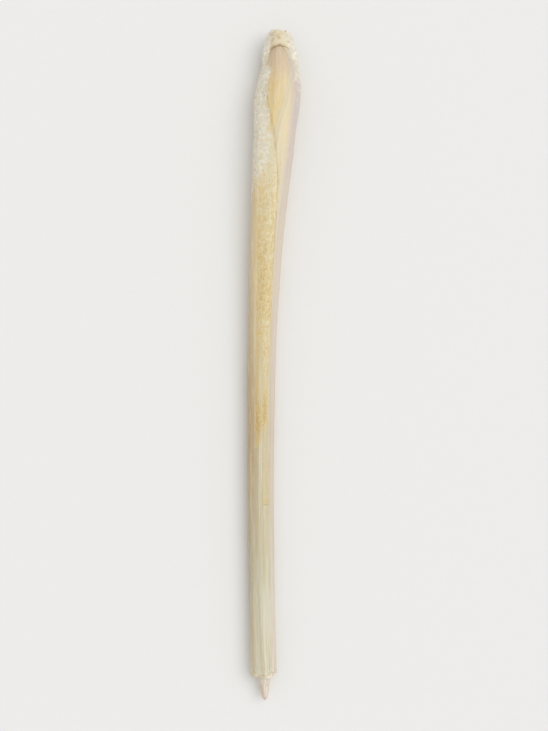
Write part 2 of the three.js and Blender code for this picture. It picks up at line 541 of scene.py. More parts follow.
@dataclass
class Surface:
    """Points, faces and carried values that become one mesh object."""

    points: Array
    faces: list[Array]
    fields: Carried = field(default_factory=dict)
    cut_faces: Array | None = None
    smooth_angle: float = 50.0

    def as_object(self, name: str) -> Object:
        """Makes the object, at the origin.

        Args:
            name: the object's name.

        Returns:
            The object, linked to the scene.
        """
        mesh = bpy.data.meshes.new(name)
        mesh.from_pydata(self.points.tolist(), [], [face for group in self.faces for face in group.tolist()])
        for key, values in self.fields.items():
            kind, slot = ("FLOAT_VECTOR", "vector") if values.ndim == 2 else ("FLOAT", "value")
            mesh.attributes.new(key.value, kind, "POINT").data.foreach_set(slot, values.ravel())
        if self.cut_faces is not None:
            marks = mesh.attributes.new(Field.CUT_FACE.value, "BOOLEAN", "FACE")
            marks.data.foreach_set("value", self.cut_faces)
        mesh.shade_smooth()
        mesh.set_sharp_from_angle(angle=math.radians(self.smooth_angle))
        return new_object(name, mesh)


def tube_faces(rings: int, count: int) -> Array:
    """Returns the four-sided faces between rings of points, each ring closed on itself.

    Args:
        rings: how many rings there are.
        count: how many points each has.

    Returns:
        The faces, as rows of point numbers.
    """
    start = (np.arange(rings - 1) * count)[:, None]
    here, beside = np.arange(count), (np.arange(count) + 1) % count
    corners = [start + here, start + beside, start + count + beside, start + count + here]
    return np.stack(corners, -1).reshape(-1, 4)


def add_to(piece: Object) -> None:
    """Sets a piece on the stalk's body.

    Args:
        piece: the piece.
    """
    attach(piece, BODY)
    LOG.info("%s: %d points, %d faces", piece.name, len(piece.data.vertices), len(piece.data.polygons))


def dress(piece: Object, stands_for: Node) -> None:
    """Sets a piece on the stalk's body, in place of the solid that it stands for."""
    add_to(piece)
    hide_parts(stands_for.value)


# ---------------------------------------- the stalk


@dataclass
class StalkForm:
    """The outline and the bend that every layer of the stalk shares."""

    length: float = 200.0
    outer_start: float = 5.5
    outer_end: float = 192.0
    half_width_knots: Knots = (
        (5.5, 4.05), (8, 4.75), (12, 5.65), (19.5, 6.7), (30, 6.25), (54, 5.3), (80, 4.5), (123, 3.97),
        (192, 3.85),
    )
    bend_knots: Knots = (
        (0, 3.55), (12, 3.4), (30, 2.25), (60, -0.2), (95, -1.7), (140, -2.05), (192, -1.2), (200, -0.9),
    )
    height_to_width: float = 0.94
    rest_stations: tuple[float, ...] = (19.5, 105, 130, 160, 188)
    pressed_flat: float = 0.15
    root_height: float = 6.35
    tip_height: float = 3.4
    edge_knots: Knots = (
        (5.5, -45), (9, -66), (13, -55), (17, -42), (22, -29), (31.5, -3), (45, 26), (62, 35), (192, 42),
    )
    overlap_knots: Knots = (
        (5.5, -62), (9, -108), (13, -92), (17, -68), (22, -44), (31.5, 0), (50, 38), (80, 55), (192, 55),
    )
    edge_lift: float = 0.14
    lift_from: float = 12.0
    lift_to: float = 30.0
    lift_turn: float = 150.0
    far_side_turn: float = 90.0
    node_arch: float = 1.8
    arch_rises: tuple[float, float] = (2.2, 5.2)
    arch_fades: tuple[float, float] = (6.0, 15.0)
    outline_samples: int = 400
    sideways: float = 0.0
    half_width: Callable = field(init=False)
    bend: Callable = field(init=False)
    axis_height: Callable = field(init=False)
    edge_angle: Callable = field(init=False)
    overlap: Callable = field(init=False)

    def __post_init__(self) -> None:
        """Makes the smooth functions, and sets the stalk sideways where its solids lie."""
        self.half_width = along(self.half_width_knots)
        self.bend = along(self.bend_knots)
        self.edge_angle = along(self.edge_knots)
        self.overlap = along(self.overlap_knots)
        heights = [float(self.half_width(at)) * self.height_to_width for at in self.rest_stations]
        rests = [(at, height - self.pressed_flat) for at, height in zip(self.rest_stations, heights)]
        self.axis_height = along([(0, self.root_height), *rests, (self.length, self.tip_height)])
        stations = np.linspace(self.outer_start, self.outer_end, self.outline_samples)
        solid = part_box(Node.OUTER_SHEATH.value)
        self.sideways = solid[0].x / MM - float(np.min(self.bend(stations) - self.half_width(stations)))

    def place(self, station: Array, radius: Array, angle: Array) -> Array:
        """Finds points round the stalk's axis.

        Args:
            station: their distances along the stalk.
            radius: their distances from its axis.
            angle: their angles round it.

        Returns:
            The points, in metres, kept above the surface that the stalk lies on.
        """
        turned = np.radians(angle)
        station = station + self.arch(station, turned)
        x = self.sideways + self.bend(station) + radius * np.sin(turned)
        height = self.axis_height(station) + radius * self.height_to_width * np.cos(turned)
        y = np.broadcast_to(self.length / 2 - station, x.shape)
        return np.stack([x, y, np.maximum(height, 0.0)], -1) * MM

    def arch(self, station: Array, turned: Array) -> Array:
        """Returns how much lower the node and the leaf bases sit on the sides than on the top.

        Args:
            station: the points' stations.
            turned: their angles, in radians.

        Returns:
            The drop along the stalk.
        """
        (low, high), (start, end) = self.arch_rises, self.arch_fades
        here = ease((station - low) / (high - low)) * (1.0 - ease((station - start) / (end - start)))
        return self.node_arch * here * np.where(np.cos(turned) > 0.0, np.sin(turned) ** 2, 1.0)

    def lift(self, station: Array) -> Array:
        """Returns how far the outer sheath's free edge stands off where it overlaps."""
        return self.edge_lift * ease((station - self.lift_from) / (self.lift_to - self.lift_from))

    def dip_under(self, station: Array, angle: Array) -> Array:
        """Returns how far the inner layers make room at an angle for the outer sheath's covered edge.

        Args:
            station: the points' stations.
            angle: their angles round the stalk.

        Returns:
            The room.
        """
        covered = self.edge_angle(station) - self.overlap(station)
        beside = wrapped(angle - covered)
        share = np.where(beside > 0, beside / self.lift_turn, -beside / self.far_side_turn)
        return self.lift(station) * ease(1.0 - share)


@dataclass(frozen=True)
class MoistPatch:
    """A stretch of skin that was pressed moist: its two borders and its strength, by station."""

    begins: Knots
    ends: Knots
    strength: Knots


@dataclass
class FrostPattern:
    """Where the stalk is frosted, banked with ice, whitened by a frosty cast and a painted sheen, darkened by
    painted shade, and pressed moist.
    """

    clear_from: Knots = (
        (0, -54), (5, -50), (8, -56), (10.2, -58), (12, -30), (13.6, -26), (17, -39), (19.5, -38), (24, -26),
        (28.3, -20), (31.5, -15), (38, -8), (43, -24), (49, -58), (60, -80), (192, -80),
    )
    clear_to: Knots = ((0, 26), (5, 34), (7, 47), (9, 51), (12, 50), (20, 58), (40, 72), (192, 80))
    left_cover: Knots = (
        (0, 0.3), (4, 0.4), (9, 0.74), (13, 0.9), (24, 0.88), (32, 0.66), (38, 0.6), (45, 0.5), (54, 0.18),
        (70, 0.03), (170, 0.03), (192, 0.3),
    )
    right_cover: Knots = ((0, 0.25), (4, 0.45), (9, 0.68), (20, 0.4), (36, 0.16), (60, 0.03), (192, 0.03))
    all_round_cover: Knots = (
        (0, 0.45), (1.5, 0.22), (4.5, 0.16), (9, 0.0), (14, 0.0), (26, 0.0), (32, 0.12), (44, 0.1), (54, 0.0),
        (70, 0.0), (180, 0.0), (186, 0.01), (189.5, 0.14), (192, 0.42), (196, 0.3), (200, 0.12),
    )
    # Where the left flank's painted shade lies, over its own tan tone, and how strong it is.
    shade_to: Knots = ((0, -40), (40, -46), (60, -36), (85, -26), (100, -18), (150, -18), (192, -22))
    shade_cover: Knots = (
        (0, 0.3), (12, 0.3), (40, 0.4), (60, 0.7), (100, 1.0), (150, 1.0), (176, 0.85), (192, 0.6),
    )
    # The right flank's pale cast: partly a frosty cast, partly a painted pinkish sheen that stands in for
    # reflected light.
    haze_from: Knots = ((0, 40), (20, 44), (60, 42), (100, 47), (125, 54), (192, 54))
    haze_cover: Knots = ((0, 0.5), (9, 0.9), (60, 0.85), (140, 0.7), (192, 0.55))
    patches: tuple[MoistPatch, ...] = (
        MoistPatch(
            (
                (0, -30), (12, -44), (20, -38), (27, -26), (34, -30), (46, -52), (60, -46), (75, -37),
                (100, -34),
            ),
            ((0, 30), (12, 8), (20, 10), (27, 2), (32, 0), (40, 34), (50, 36), (75, 40), (100, 38)),
            (
                (0, 0.0), (12, 0.25), (18, 0.5), (22, 0.34), (27, 0.42), (38, 0.28), (45, 0.4), (60, 0.58),
                (84, 0.72), (93, 0.5), (102, 0.0),
            ),
        ),
        MoistPatch(
            ((86, -36), (110, -31), (130, -30)),
            ((86, -2), (104, -6), (116, 4), (130, -8)),
            ((86, 0.0), (94, 0.6), (104, 0.62), (112, 0.85), (117, 1.15), (121, 0.95), (127, 0.0)),
        ),
        MoistPatch(
            ((84, -10), (130, -8)),
            ((84, 40), (112, 37), (122, 22), (130, 14)),
            ((84, 0.0), (92, 0.52), (106, 0.4), (112, 0.5), (118, 0.44), (127, 0.0)),
        ),
        MoistPatch(
            ((104, 12), (120, 2)),
            ((104, 38), (120, 26)),
            ((103, 0.0), (108, 0.8), (114, 1.3), (118, 0.9), (121.5, 0.0)),
        ),
        MoistPatch(
            ((122, 28), (132, 24), (142, 12)),
            ((122, 50), (142, 48)),
            ((122, 0.0), (128, 0.5), (138, 0.55), (141, 0.5), (142.5, 0.0)),
        ),
    )
    bank_height: Knots = (
        (0, 0.0), (0.9, 0.1), (1.8, 0.35), (2.7, 0.65), (3.7, 1.0), (4.7, 1.2), (5.5, 1.05), (8, 0.5),
        (10, 0.2), (12.5, 0.0), (192, 0.0),
    )
    bank_from: float = 40.0
    bank_to: float = 125.0
    bank_edge: float = 36.0
    bank_cover: float = 1.0
    bank_white_at: float = 0.35
    bank_lumps: tuple[Ripple, ...] = (Ripple(0.22, 1.3, 18.0), Ripple(0.12, 0.5, 7.0, 9.0))
    underside: float = 0.3
    underside_from: float = 100.0
    underside_edge: float = 50.0
    soft_edge: float = 34.0
    shade_edge: float = 80.0
    moist_edge: float = 32.0
    ragged: float = 7.0
    ragged_ripples: tuple[Ripple, ...] = (Ripple(1.0, 2.3, 25.0), Ripple(0.6, 0.9, 9.0))
    seed: int = 11

    def cover(self, station: Array, angle: Array) -> Carried:
        """Finds how frosted the skin is, how much frosty cast and painted sheen it has, how moist it is, and
        how much painted shade it has.

        Args:
            station: the points' distances along the stalk.
            angle: their angles round it.

        Returns:
            The four values of each point, from 0 to 1.
        """
        turned = wrapped(angle)
        ragged = self.ragged * Waver(self.seed).layers(station, turned, self.ragged_ripples)
        left = self.beyond(along(self.clear_from)(station) - turned + ragged)
        right = self.beyond(turned - along(self.clear_to)(station) + ragged)
        under = ease((np.abs(turned) - self.underside_from) / self.underside_edge)
        sides = left * along(self.left_cover)(station) + right * along(self.right_cover)(station)
        frost = sides * (1.0 - under) + self.underside * under + along(self.all_round_cover)(station)
        frost = np.maximum(frost, self.bank_cover * ease(self.bank(station, angle) / self.bank_white_at))
        # Painted sheen: a pale pinkish band on the right flank, partly a frosty cast and partly painted
        # reflected light.
        haze = self.beyond(turned - along(self.haze_from)(station)) * (1.0 - under)
        shaded = self.beyond(along(self.shade_to)(station) - turned, self.shade_edge) * (1.0 - under)
        moist = [self.moistness(patch, station, turned) for patch in self.patches]
        return {
            Field.FROST: np.clip(frost, 0.0, 1.0),
            Field.HAZE: haze * along(self.haze_cover)(station),
            Field.WET: np.maximum.reduce(moist),
            Field.SHADE: shaded * along(self.shade_cover)(station),
        }

    def bank(self, station: Array, angle: Array) -> Array:
        """Returns how thick the ice has banked up on both flanks of the root end, in millimetres.

        Args:
            station: the points' stations.
            angle: their angles round the stalk.

        Returns:
            The thickness.
        """
        turned = wrapped(angle)
        away = np.abs(turned)
        below = ease((away - self.bank_to) / self.bank_edge)
        flank = ease((away - self.bank_from) / self.bank_edge) * (1.0 - below)
        lumps = Waver(self.seed + 1).layers(station, turned, self.bank_lumps, 1.0)
        return np.maximum(along(self.bank_height)(station), 0.0) * flank * lumps

    def moistness(self, patch: MoistPatch, station: Array, turned: Array) -> Array:
        """Returns how moist one patch leaves the skin.

        Args:
            patch: the patch.
            station: the points' stations.
            turned: their angles, from -180 to 180.

        Returns:
            How moist each point is.
        """
        begun = self.beyond(turned - along(patch.begins)(station), self.moist_edge)
        ended = self.beyond(along(patch.ends)(station) - turned, self.moist_edge)
        return begun * ended * np.maximum(along(patch.strength)(station), 0.0)

    def beyond(self, angle: Array, width: float | None = None) -> Array:
        """Returns a soft step over the border that an angle is counted from."""
        return ease(angle / (width or self.soft_edge) + 0.5)


# ---------------------------------------- finishes


@dataclass(frozen=True)
class Bump:
    """A finish's fine relief: its strength, and its depth in metres."""

    strength: float
    depth: float


@dataclass(frozen=True)
class Glow:
    """The light that goes into a finish: how much, how far in metres, and how far each colour of it."""

    weight: float
    depth: float
    reach: Colour


@dataclass(frozen=True)
class Skin:
    """The two materials of a piece: its own face and the faces where it is cut."""

    face: Material
    cut: Material


# The frost's mottles go to a duller tone that is partly thinner ice and partly painted shade of the frost's
# lumps.
FROST_CLOUDS = Grain(1100.0, 3.0, 0.6)
FROST_THINS_AND_SHADES = Rise(0.4, 0.62, 0.62)


class ShaderGraph(Graph):
    """The nodes of one new material, which end in its surface shader."""

    def __init__(self, name: str) -> None:
        """Makes the material.

        Args:
            name: the material's name.
        """
        self.material = bpy.data.materials.new(name)
        self.material.use_nodes = True
        super().__init__(self.material.node_tree)
        self.shader = self.tree.nodes["Principled BSDF"]

    def value_of(self, name: Field) -> Socket:
        """Returns a value that the mesh carries."""
        return self.add("ShaderNodeAttribute", attribute_name=name.value).outputs["Fac"]

    def place(self) -> Socket:
        """Returns the place of a point, in Object coordinates."""
        return self.add("ShaderNodeTexCoord").outputs["Object"]

    def tint(self, colour: Feed, value: Feed, rise: Rise, tint: Feed) -> Socket:
        """Returns a colour that goes over to a tint as a value rises."""
        return self.mix(self.rise(value, rise), colour, tint)

    def clouded(self, frost: Colour, thin_frost_and_shade: Colour) -> Socket:
        """Returns the colour of ice, mottled towards a duller tone that is partly thinner ice and partly
        painted shade of its lumps.
        """
        return self.tint(frost, self.noise(self.place(), FROST_CLOUDS), FROST_THINS_AND_SHADES, thin_frost_and_shade)

    def surface(self, colour: Feed, roughness: Feed) -> None:
        """Links the colour and the roughness to the shader."""
        self.tree.links.new(colour, self.shader.inputs["Base Color"])
        self.tree.links.new(roughness, self.shader.inputs["Roughness"])

    def raised(self, height: Feed, bump: Bump) -> None:
        """Links fine relief to the shader."""
        feeds = {"Strength": bump.strength, "Distance": bump.depth, "Height": height}
        self.tree.links.new(self.add("ShaderNodeBump", feeds).outputs[0], self.shader.inputs["Normal"])

    def lit_within(self, glow: Glow) -> None:
        """Lets light into the material."""
        for name, value in (("Weight", glow.weight), ("Scale", glow.depth), ("Radius", glow.reach)):
            self.shader.inputs[f"Subsurface {name}"].default_value = value


@dataclass
class LeafLayers:
    """What the skin of a leaf is worked out from: its carried values and its noises."""

    station: Socket
    across: Socket
    wet: Socket
    streaks: Socket
    fibres: Socket
    broad: Socket
    blotches: Socket
    specks: Socket


@dataclass(frozen=True)
class LeafFinish:
    """The skin of a leaf sheath: straw tones along it, painted shade on the left flank, fibres, stained rims,
    moist gold, a frosty cast with a painted sheen, and frost.

    A field that ends in _rise says over which part of a noise or of a carried value its tint comes in, and
    one that ends in _in says how moist the skin is where it shows.
    """

    name: str
    tones: Tones
    offset: float = 0.0
    length: float = 200.0

    flush: Colour = rgb(228, 202, 172)
    flush_rise: Rise = Rise(0.55, 0.8, 0.45)
    # The tones of the painted shade on the left flank, and its strength.
    shade: Tones = SHADE_TONES
    shade_strength: float = 0.8
    blotches: Drawn = Drawn(0.3, 0.11, Grain(1.0, 3.0, 0.55))

    gold: Colour = rgb(221, 190, 126)
    gold_strength: float = 0.66
    pressed_rise: Rise = Rise(0.36, 0.6)
    deep_gold: Colour = rgb(198, 158, 90)
    deep_gold_rise: Rise = Rise(0.72, 1.2, 0.62)
    warp: Drawn = Drawn(0.3, 0.22, Grain(1.0, 2.0), 30.0)
    warp_reach: float = 3.4
    crinkle: Drawn = Drawn(1.2, 0.36, Grain(1.0, 4.0, 0.68), 4.0)
    crinkle_strength: float = 1.7
    wisps: Drawn = Drawn(1.3, 0.42, Grain(1.0, 3.0, 0.6), 14.0)
    wisp_rise: Rise = Rise(0.0, 0.09, 0.42)
    wisp_gain: float = 0.28
    wisps_in: Rise = Rise(0.1, 0.5)

    fibre: Colour = rgb(198, 168, 116)
    pale: Colour = rgb(244, 234, 202)
    speck: Colour = rgb(243, 232, 200)
    streaks: Drawn = Drawn(1.0, 0.021, Grain(1.4, 3.0, 0.55))
    fibres: Drawn = Drawn(1.0, 0.021, Grain(5.5, 2.0, 0.6))
    broad: Drawn = Drawn(1.0, 0.021, Grain(0.6, 2.0))
    specks: Drawn = Drawn(2.4, 1.3, Grain(1.0, 2.0))
    evened_by_wet: Rise = Rise(0.15, 0.7)
    evened: float = 0.75
    broad_rise: Rise = Rise(0.5, 0.72)
    broad_strength: float = 0.5
    fibre_rise: Rise = Rise(0.48, 0.7)
    fibre_strength: float = 0.36
    drier_from: Rise = Rise(90.0, 150.0)
    drier: float = 0.24
    thin_rise: Rise = Rise(0.5, 0.68)
    thin_strength: float = 0.34
    speck_rise: Rise = Rise(0.55, 0.75)
    specks_in: Rise = Rise(0.1, 0.6)
    speck_strength: float = 0.4

    stain: Colour = rgb(186, 144, 94)
    stain_width: float = 0.7
    stain_strength: float = 0.62
    stain_fade: float = 0.5
    stain_fades: Rise = Rise(50.0, 130.0)
    stain_rise: Rise = Rise(0.3, 0.6)
    bruise: Colour = rgb(178, 138, 84)
    bruise_station: float = 141.0
    bruise_wander: float = 2.5
    bruise_line: Rise = Rise(0.08, 0.3)
    bruise_rise: Rise = Rise(0.2, 0.7)
    bruise_in: Rise = Rise(0.05, 0.5)
    bruise_strength: float = 0.7

    # The right flank's pale pinkish colour: partly a frosty cast, partly a painted sheen of reflected light.
    bloom_and_sheen: Colour = rgb(206, 194, 188)
    bloom_and_sheen_strength: float = 0.78
    frost: Colour = rgb(251, 244, 226)
    # The duller tone of the frost's mottles: partly thinner ice, partly painted shade of its lumps.
    thin_frost_and_shade: Colour = rgb(217, 207, 182)
    frost_strength: float = 0.92
    frost_rise: Rise = Rise(0.16, 0.95)
    ice_grains: Grain = Grain(2300.0, 2.0, 0.7)
    ice_lumps: Grain = Grain(850.0, 3.0, 0.65)
    grain_strength: float = 0.9
    lump_strength: float = 1.6

    streak_height: float = 0.7
    fibre_height: float = 0.5
    ice_height: float = 1.6
    bump: Bump = Bump(0.6, 0.00013)
    roughness: float = 0.44
    icy_roughness: float = 0.32
    moist_smoothness: float = 0.13
    glow: Glow = Glow(0.25, 0.0012, (1.0, 0.7, 0.35))
    specular: float = 0.45

    def material(self) -> Material:
        """Builds the material, which reads the values that the sheath's mesh carries.

        Returns:
            The material.
        """
        graph = ShaderGraph(self.name)
        leaf = self.layers(graph)
        soaked = self.soaked(graph, leaf)
        pressed = graph.rise(soaked, self.pressed_rise)
        colour = self.ground(graph, leaf)
        colour = graph.mix(graph.times(pressed, self.gold_strength), colour, self.gold)
        colour = graph.tint(colour, soaked, self.deep_gold_rise, self.deep_gold)
        colour = self.fibred(graph, leaf, colour)
        colour = self.marked(graph, leaf, colour)
        # Painted sheen: pale pinkish reflected light laid over the right flank, with a frosty cast.
        colour = graph.mix(graph.times(graph.value_of(Field.HAZE), self.bloom_and_sheen_strength), colour, self.bloom_and_sheen)
        icy, crust = self.crust(graph)
        # The frost is mottled with painted shade of its lumps as well as thinner ice.
        colour = graph.mix(icy, colour, graph.clouded(self.frost, self.thin_frost_and_shade))
        dry = graph.times_plus(icy, self.icy_roughness, self.roughness)
        graph.surface(colour, graph.minus(dry, graph.times(pressed, self.moist_smoothness)))
        fibres = graph.times(leaf.fibres, self.fibre_height)
        height = graph.times_plus(leaf.streaks, self.streak_height, fibres)
        graph.raised(graph.times_plus(graph.times(icy, crust), self.ice_height, height), self.bump)
        graph.lit_within(self.glow)
        graph.shader.inputs["Specular IOR Level"].default_value = self.specular
        return graph.material

    def layers(self, graph: ShaderGraph) -> LeafLayers:
        """Returns the carried values and the noises.

        Args:
            graph: the material's nodes.

        Returns:
            The values and the noises.
        """
        station, across = graph.value_of(Field.STATION), graph.value_of(Field.ACROSS)
        drawn = (self.streaks, self.fibres, self.broad, self.blotches, self.specks)
        noises = [graph.drawn_noise(across, station, noise, self.offset) for noise in drawn]
        return LeafLayers(station, across, graph.value_of(Field.WET), *noises)

    def ground(self, graph: ShaderGraph, leaf: LeafLayers) -> Socket:
        """Returns the straw tones along the leaf, flushed in patches, with painted shade on the left flank.

        Args:
            graph: the material's nodes.
            leaf: the leaf's values and noises.

        Returns:
            The colour.
        """
        share = graph.math("DIVIDE", leaf.station, self.length)
        colour = graph.tint(graph.ramp(share, self.tones), leaf.blotches, self.flush_rise, self.flush)
        # Painted shade: the left flank is darkened towards the shade tones, partly its own tan.
        shaded = graph.times(graph.value_of(Field.SHADE), self.shade_strength)
        return graph.mix(shaded, colour, graph.ramp(share, self.shade))

    def soaked(self, graph: ShaderGraph, leaf: LeafLayers) -> Socket:
        """Returns how moist the skin was pressed, with a crinkled border and thin wisps.

        Args:
            graph: the material's nodes.
            leaf: the leaf's values and noises.

        Returns:
            How moist it is.
        """
        warp = graph.drawn_noise(leaf.across, leaf.station, self.warp)
        warped = graph.times_plus(warp, self.warp_reach, leaf.across)
        crinkle = graph.centred(graph.drawn_noise(warped, leaf.station, self.crinkle))
        bend = graph.math("ABSOLUTE", graph.centred(graph.drawn_noise(warped, leaf.station, self.wisps)))
        wisps = graph.minus(self.wisp_gain, graph.rise(bend, self.wisp_rise))
        soaked = graph.times_plus(crinkle, self.crinkle_strength, leaf.wet)
        return graph.times_plus(wisps, graph.rise(leaf.wet, self.wisps_in), soaked)

    def fibred(self, graph: ShaderGraph, leaf: LeafLayers, colour: Feed) -> Socket:
        """Draws the streaks and the fibres, fainter where the skin is moist, and the specks.

        Args:
            graph: the material's nodes.
            leaf: the leaf's values and noises.
            colour: the skin's colour so far.

        Returns:
            The colour.
        """
        even = graph.times_plus(graph.rise(leaf.wet, self.evened_by_wet), -self.evened, 1.0)
        broad = graph.times(graph.rise(leaf.broad, self.broad_rise), even)
        colour = graph.mix(graph.times(broad, self.broad_strength), colour, self.pale)
        drier = graph.times_plus(graph.rise(leaf.station, self.drier_from), self.drier, self.fibre_strength)
        strong = graph.times(graph.rise(leaf.streaks, self.fibre_rise), graph.times(drier, even))
        colour = graph.mix(strong, colour, self.fibre)
        thin = graph.times(graph.rise(leaf.fibres, self.thin_rise), graph.times(even, self.thin_strength))
        colour = graph.mix(thin, colour, self.pale)
        specks = graph.times(graph.rise(leaf.specks, self.speck_rise), graph.rise(leaf.wet, self.specks_in))
        return graph.mix(graph.times(specks, self.speck_strength), colour, self.speck)

    def marked(self, graph: ShaderGraph, leaf: LeafLayers, colour: Feed) -> Socket:
        """Marks the skin with its stained rims and with one thin bruise across it.

        Args:
            graph: the material's nodes.
            leaf: the leaf's values and noises.
            colour: the skin's colour so far.

        Returns:
            The colour.
        """
        near_rim = graph.rest_of(graph.rise(graph.value_of(Field.RIM), Rise(0.0, self.stain_width)))
        stained = graph.times(near_rim, graph.rise(leaf.blotches, self.stain_rise))
        fading = graph.rise(leaf.station, self.stain_fades)
        faded = graph.times_plus(fading, -self.stain_fade, self.stain_strength)
        colour = graph.mix(graph.times(stained, faded), colour, self.stain)
        wander = graph.times_plus(graph.centred(leaf.blotches), self.bruise_wander, self.bruise_station)
        away = graph.math("ABSOLUTE", graph.minus(leaf.station, wander))
        crossed = graph.rest_of(graph.rise(away, self.bruise_line))
        worn = graph.times(graph.rise(leaf.wet, self.bruise_in), graph.rise(leaf.blotches, self.bruise_rise))
        bruised = graph.times(graph.times(crossed, worn), self.bruise_strength)
        return graph.mix(bruised, colour, self.bruise)

    def crust(self, graph: ShaderGraph) -> tuple[Socket, Socket]:
        """Returns how much of the skin the ice hides, and how high its grains stand.

        Args:
            graph: the material's nodes.

        Returns:
            The two values.
        """
        where = graph.place()
        grains, lumps = graph.noise(where, self.ice_grains), graph.noise(where, self.ice_lumps)
        rough = graph.times_plus(graph.centred(lumps), self.lump_strength, graph.value_of(Field.FROST))
        rough = graph.times_plus(graph.centred(grains), self.grain_strength, rough)
        return graph.times(graph.rise(rough, self.frost_rise), self.frost_strength), graph.plus(grains, lumps)


@dataclass(frozen=True)
class CutFinish:
    """A face cut across the fibres: pale, moist and pitted, darker where it has dried."""

    name: str
    body: Colour = rgb(233, 222, 190)
    pore: Colour = rgb(176, 156, 108)
    pore_scale: float = 3900.0
    pore_edge: Rise = Rise(0.08, 0.3)
    pores_in: Rise = Rise(0.25, 0.7)
    pore_strength: float = 0.5
    pore_depth: float = 0.8
    dried: Colour = rgb(186, 146, 96)
    dried_rise: Rise = Rise(0.45, 0.75, 0.55)
    patches: Grain = Grain(700.0, 4.0, 0.65)
    bump: Bump = Bump(0.6, 0.00015)
    roughness: float = 0.4
    patch_roughness: float = 0.25
    glow: Glow = Glow(0.2, 0.001, (1.0, 0.75, 0.45))

    def material(self) -> Material:
        """Builds the material, which reads Object coordinates.

        Returns:
            The material.
        """
        graph = ShaderGraph(self.name)
        where = graph.place()
        cells = graph.add("ShaderNodeTexVoronoi", {"Vector": where, "Scale": self.pore_scale})
        pores = graph.rest_of(graph.rise(cells.outputs["Distance"], self.pore_edge))
        patches = graph.noise(where, self.patches)
        pores = graph.times(pores, graph.rise(patches, self.pores_in))
        colour = graph.mix(graph.times(pores, self.pore_strength), self.body, self.pore)
        colour = graph.tint(colour, patches, self.dried_rise, self.dried)
        graph.surface(colour, graph.times_plus(patches, self.patch_roughness, self.roughness))
        graph.raised(graph.times_plus(pores, -self.pore_depth, patches), self.bump)
        graph.lit_within(self.glow)
        return graph.material


@dataclass(frozen=True)
class CulmFinish:
    """The hard skin of the stem base: cream, ringed, with dark root scars, brown mottles and painted shade
    under the leaf base, and frosted.
    """

    name: str
    cream: Colour = rgb(228, 217, 186)
    tan: Colour = rgb(203, 178, 132)
    rings: Grain = Grain(1.6, 3.0, 0.6)
    ring_rise: Rise = Rise(0.42, 0.68, 0.5)
    ring_height: float = 0.8
    patches: Grain = Grain(420.0, 4.0, 0.6)
    patch_rise: Rise = Rise(0.5, 0.72, 0.5)
    scar: Colour = rgb(154, 120, 78)
    scar_strength: float = 0.85
    specks: Grain = Grain(1900.0, 2.0, 0.6)
    speck_rise: Rise = Rise(0.66, 0.74, 0.6)
    lumps: Grain = Grain(800.0, 3.0, 0.6)
    # Brown mottles and painted shade just below where the sheaths begin, and how strong they are.
    leaf_base_rise: Rise = Rise(4.3, 5.2)
    mottle_rise: Rise = Rise(0.3, 0.65)
    mottle_and_shade_strength: float = 0.6
    frost: Colour = rgb(240, 234, 222)
    # The duller tone of the frost's mottles: partly thinner ice, partly painted shade of its lumps.
    thin_frost_and_shade: Colour = rgb(213, 205, 186)
    frost_rise: Rise = Rise(0.12, 0.8, 0.88)
    lump_strength: float = 1.2
    bump: Bump = Bump(0.5, 0.00015)
    roughness: float = 0.42
    patch_roughness: float = 0.3
    glow: Glow = Glow(0.2, 0.001, (1.0, 0.75, 0.45))

    def material(self) -> Material:
        """Builds the material, which reads Object coordinates and the values that the mesh carries.

        Returns:
            The material.
        """
        graph = ShaderGraph(self.name)
        where, station = graph.place(), graph.value_of(Field.STATION)
        rings = graph.noise(graph.vector(0.0, 0.0, station), self.rings)
        grains = (self.patches, self.specks, self.lumps)
        patches, specks, lumps = (graph.noise(where, grain) for grain in grains)
        colour = graph.tint(self.cream, rings, self.ring_rise, self.tan)
        colour = graph.tint(colour, patches, self.patch_rise, self.tan)
        colour = graph.tint(colour, specks, self.speck_rise, self.scar)
        colour = graph.mix(graph.times(graph.value_of(Field.SCAR), self.scar_strength), colour, self.scar)
        # Painted shade under the leaf base: the skin is darkened in mottles where the sheaths begin, partly
        # its own brown mottles.
        mottles_and_shade = graph.times(graph.rise(station, self.leaf_base_rise), graph.rise(lumps, self.mottle_rise))
        colour = graph.mix(graph.times(mottles_and_shade, self.mottle_and_shade_strength), colour, self.scar)
        icy = graph.times_plus(graph.centred(lumps), self.lump_strength, graph.value_of(Field.FROST))
        # The frost is mottled with painted shade of its lumps as well as thinner ice.
        colour = graph.tint(colour, icy, self.frost_rise, graph.clouded(self.frost, self.thin_frost_and_shade))
        graph.surface(colour, graph.times_plus(patches, self.patch_roughness, self.roughness))
        graph.raised(graph.plus(graph.times(rings, self.ring_height), graph.plus(specks, lumps)), self.bump)
        graph.lit_within(self.glow)
        return graph.material


@dataclass(frozen=True)
class CloudyFinish:
    """A pale finish with soft, cloudy tones."""

    name: str
    white: Colour
    grey: Colour
    clouds: Grain
    cloud_strength: float
    roughness: float
    cloud_roughness: float
    refraction: float = 1.5

    def material(self) -> Material:
        """Builds the material, which reads Object coordinates.

        Returns:
            The material.
        """
        graph = ShaderGraph(self.name)
        cloudy = graph.noise(graph.place(), self.clouds)
        colour = graph.mix(graph.times(cloudy, self.cloud_strength), self.white, self.grey)
        graph.surface(colour, graph.times_plus(cloudy, self.cloud_roughness, self.roughness))
        graph.shader.inputs["IOR"].default_value = self.refraction
        return graph.material


ICE = CloudyFinish(
    "frost_crystals",
    white=rgb(248, 243, 231),
    grey=rgb(219, 209, 187),
    clouds=Grain(900.0),
    cloud_strength=1.0,
    roughness=0.25,
    cloud_roughness=0.3,
    refraction=1.31,
)
PAPER = CloudyFinish(
    "floor_paper",
    white=rgb(236, 235, 233),
    grey=rgb(206, 204, 200),
    clouds=Grain(700.0, 3.0),
    cloud_strength=0.06,
    roughness=0.75,
    cloud_roughness=0.1,
)


# ---------------------------------------- rolled leaves


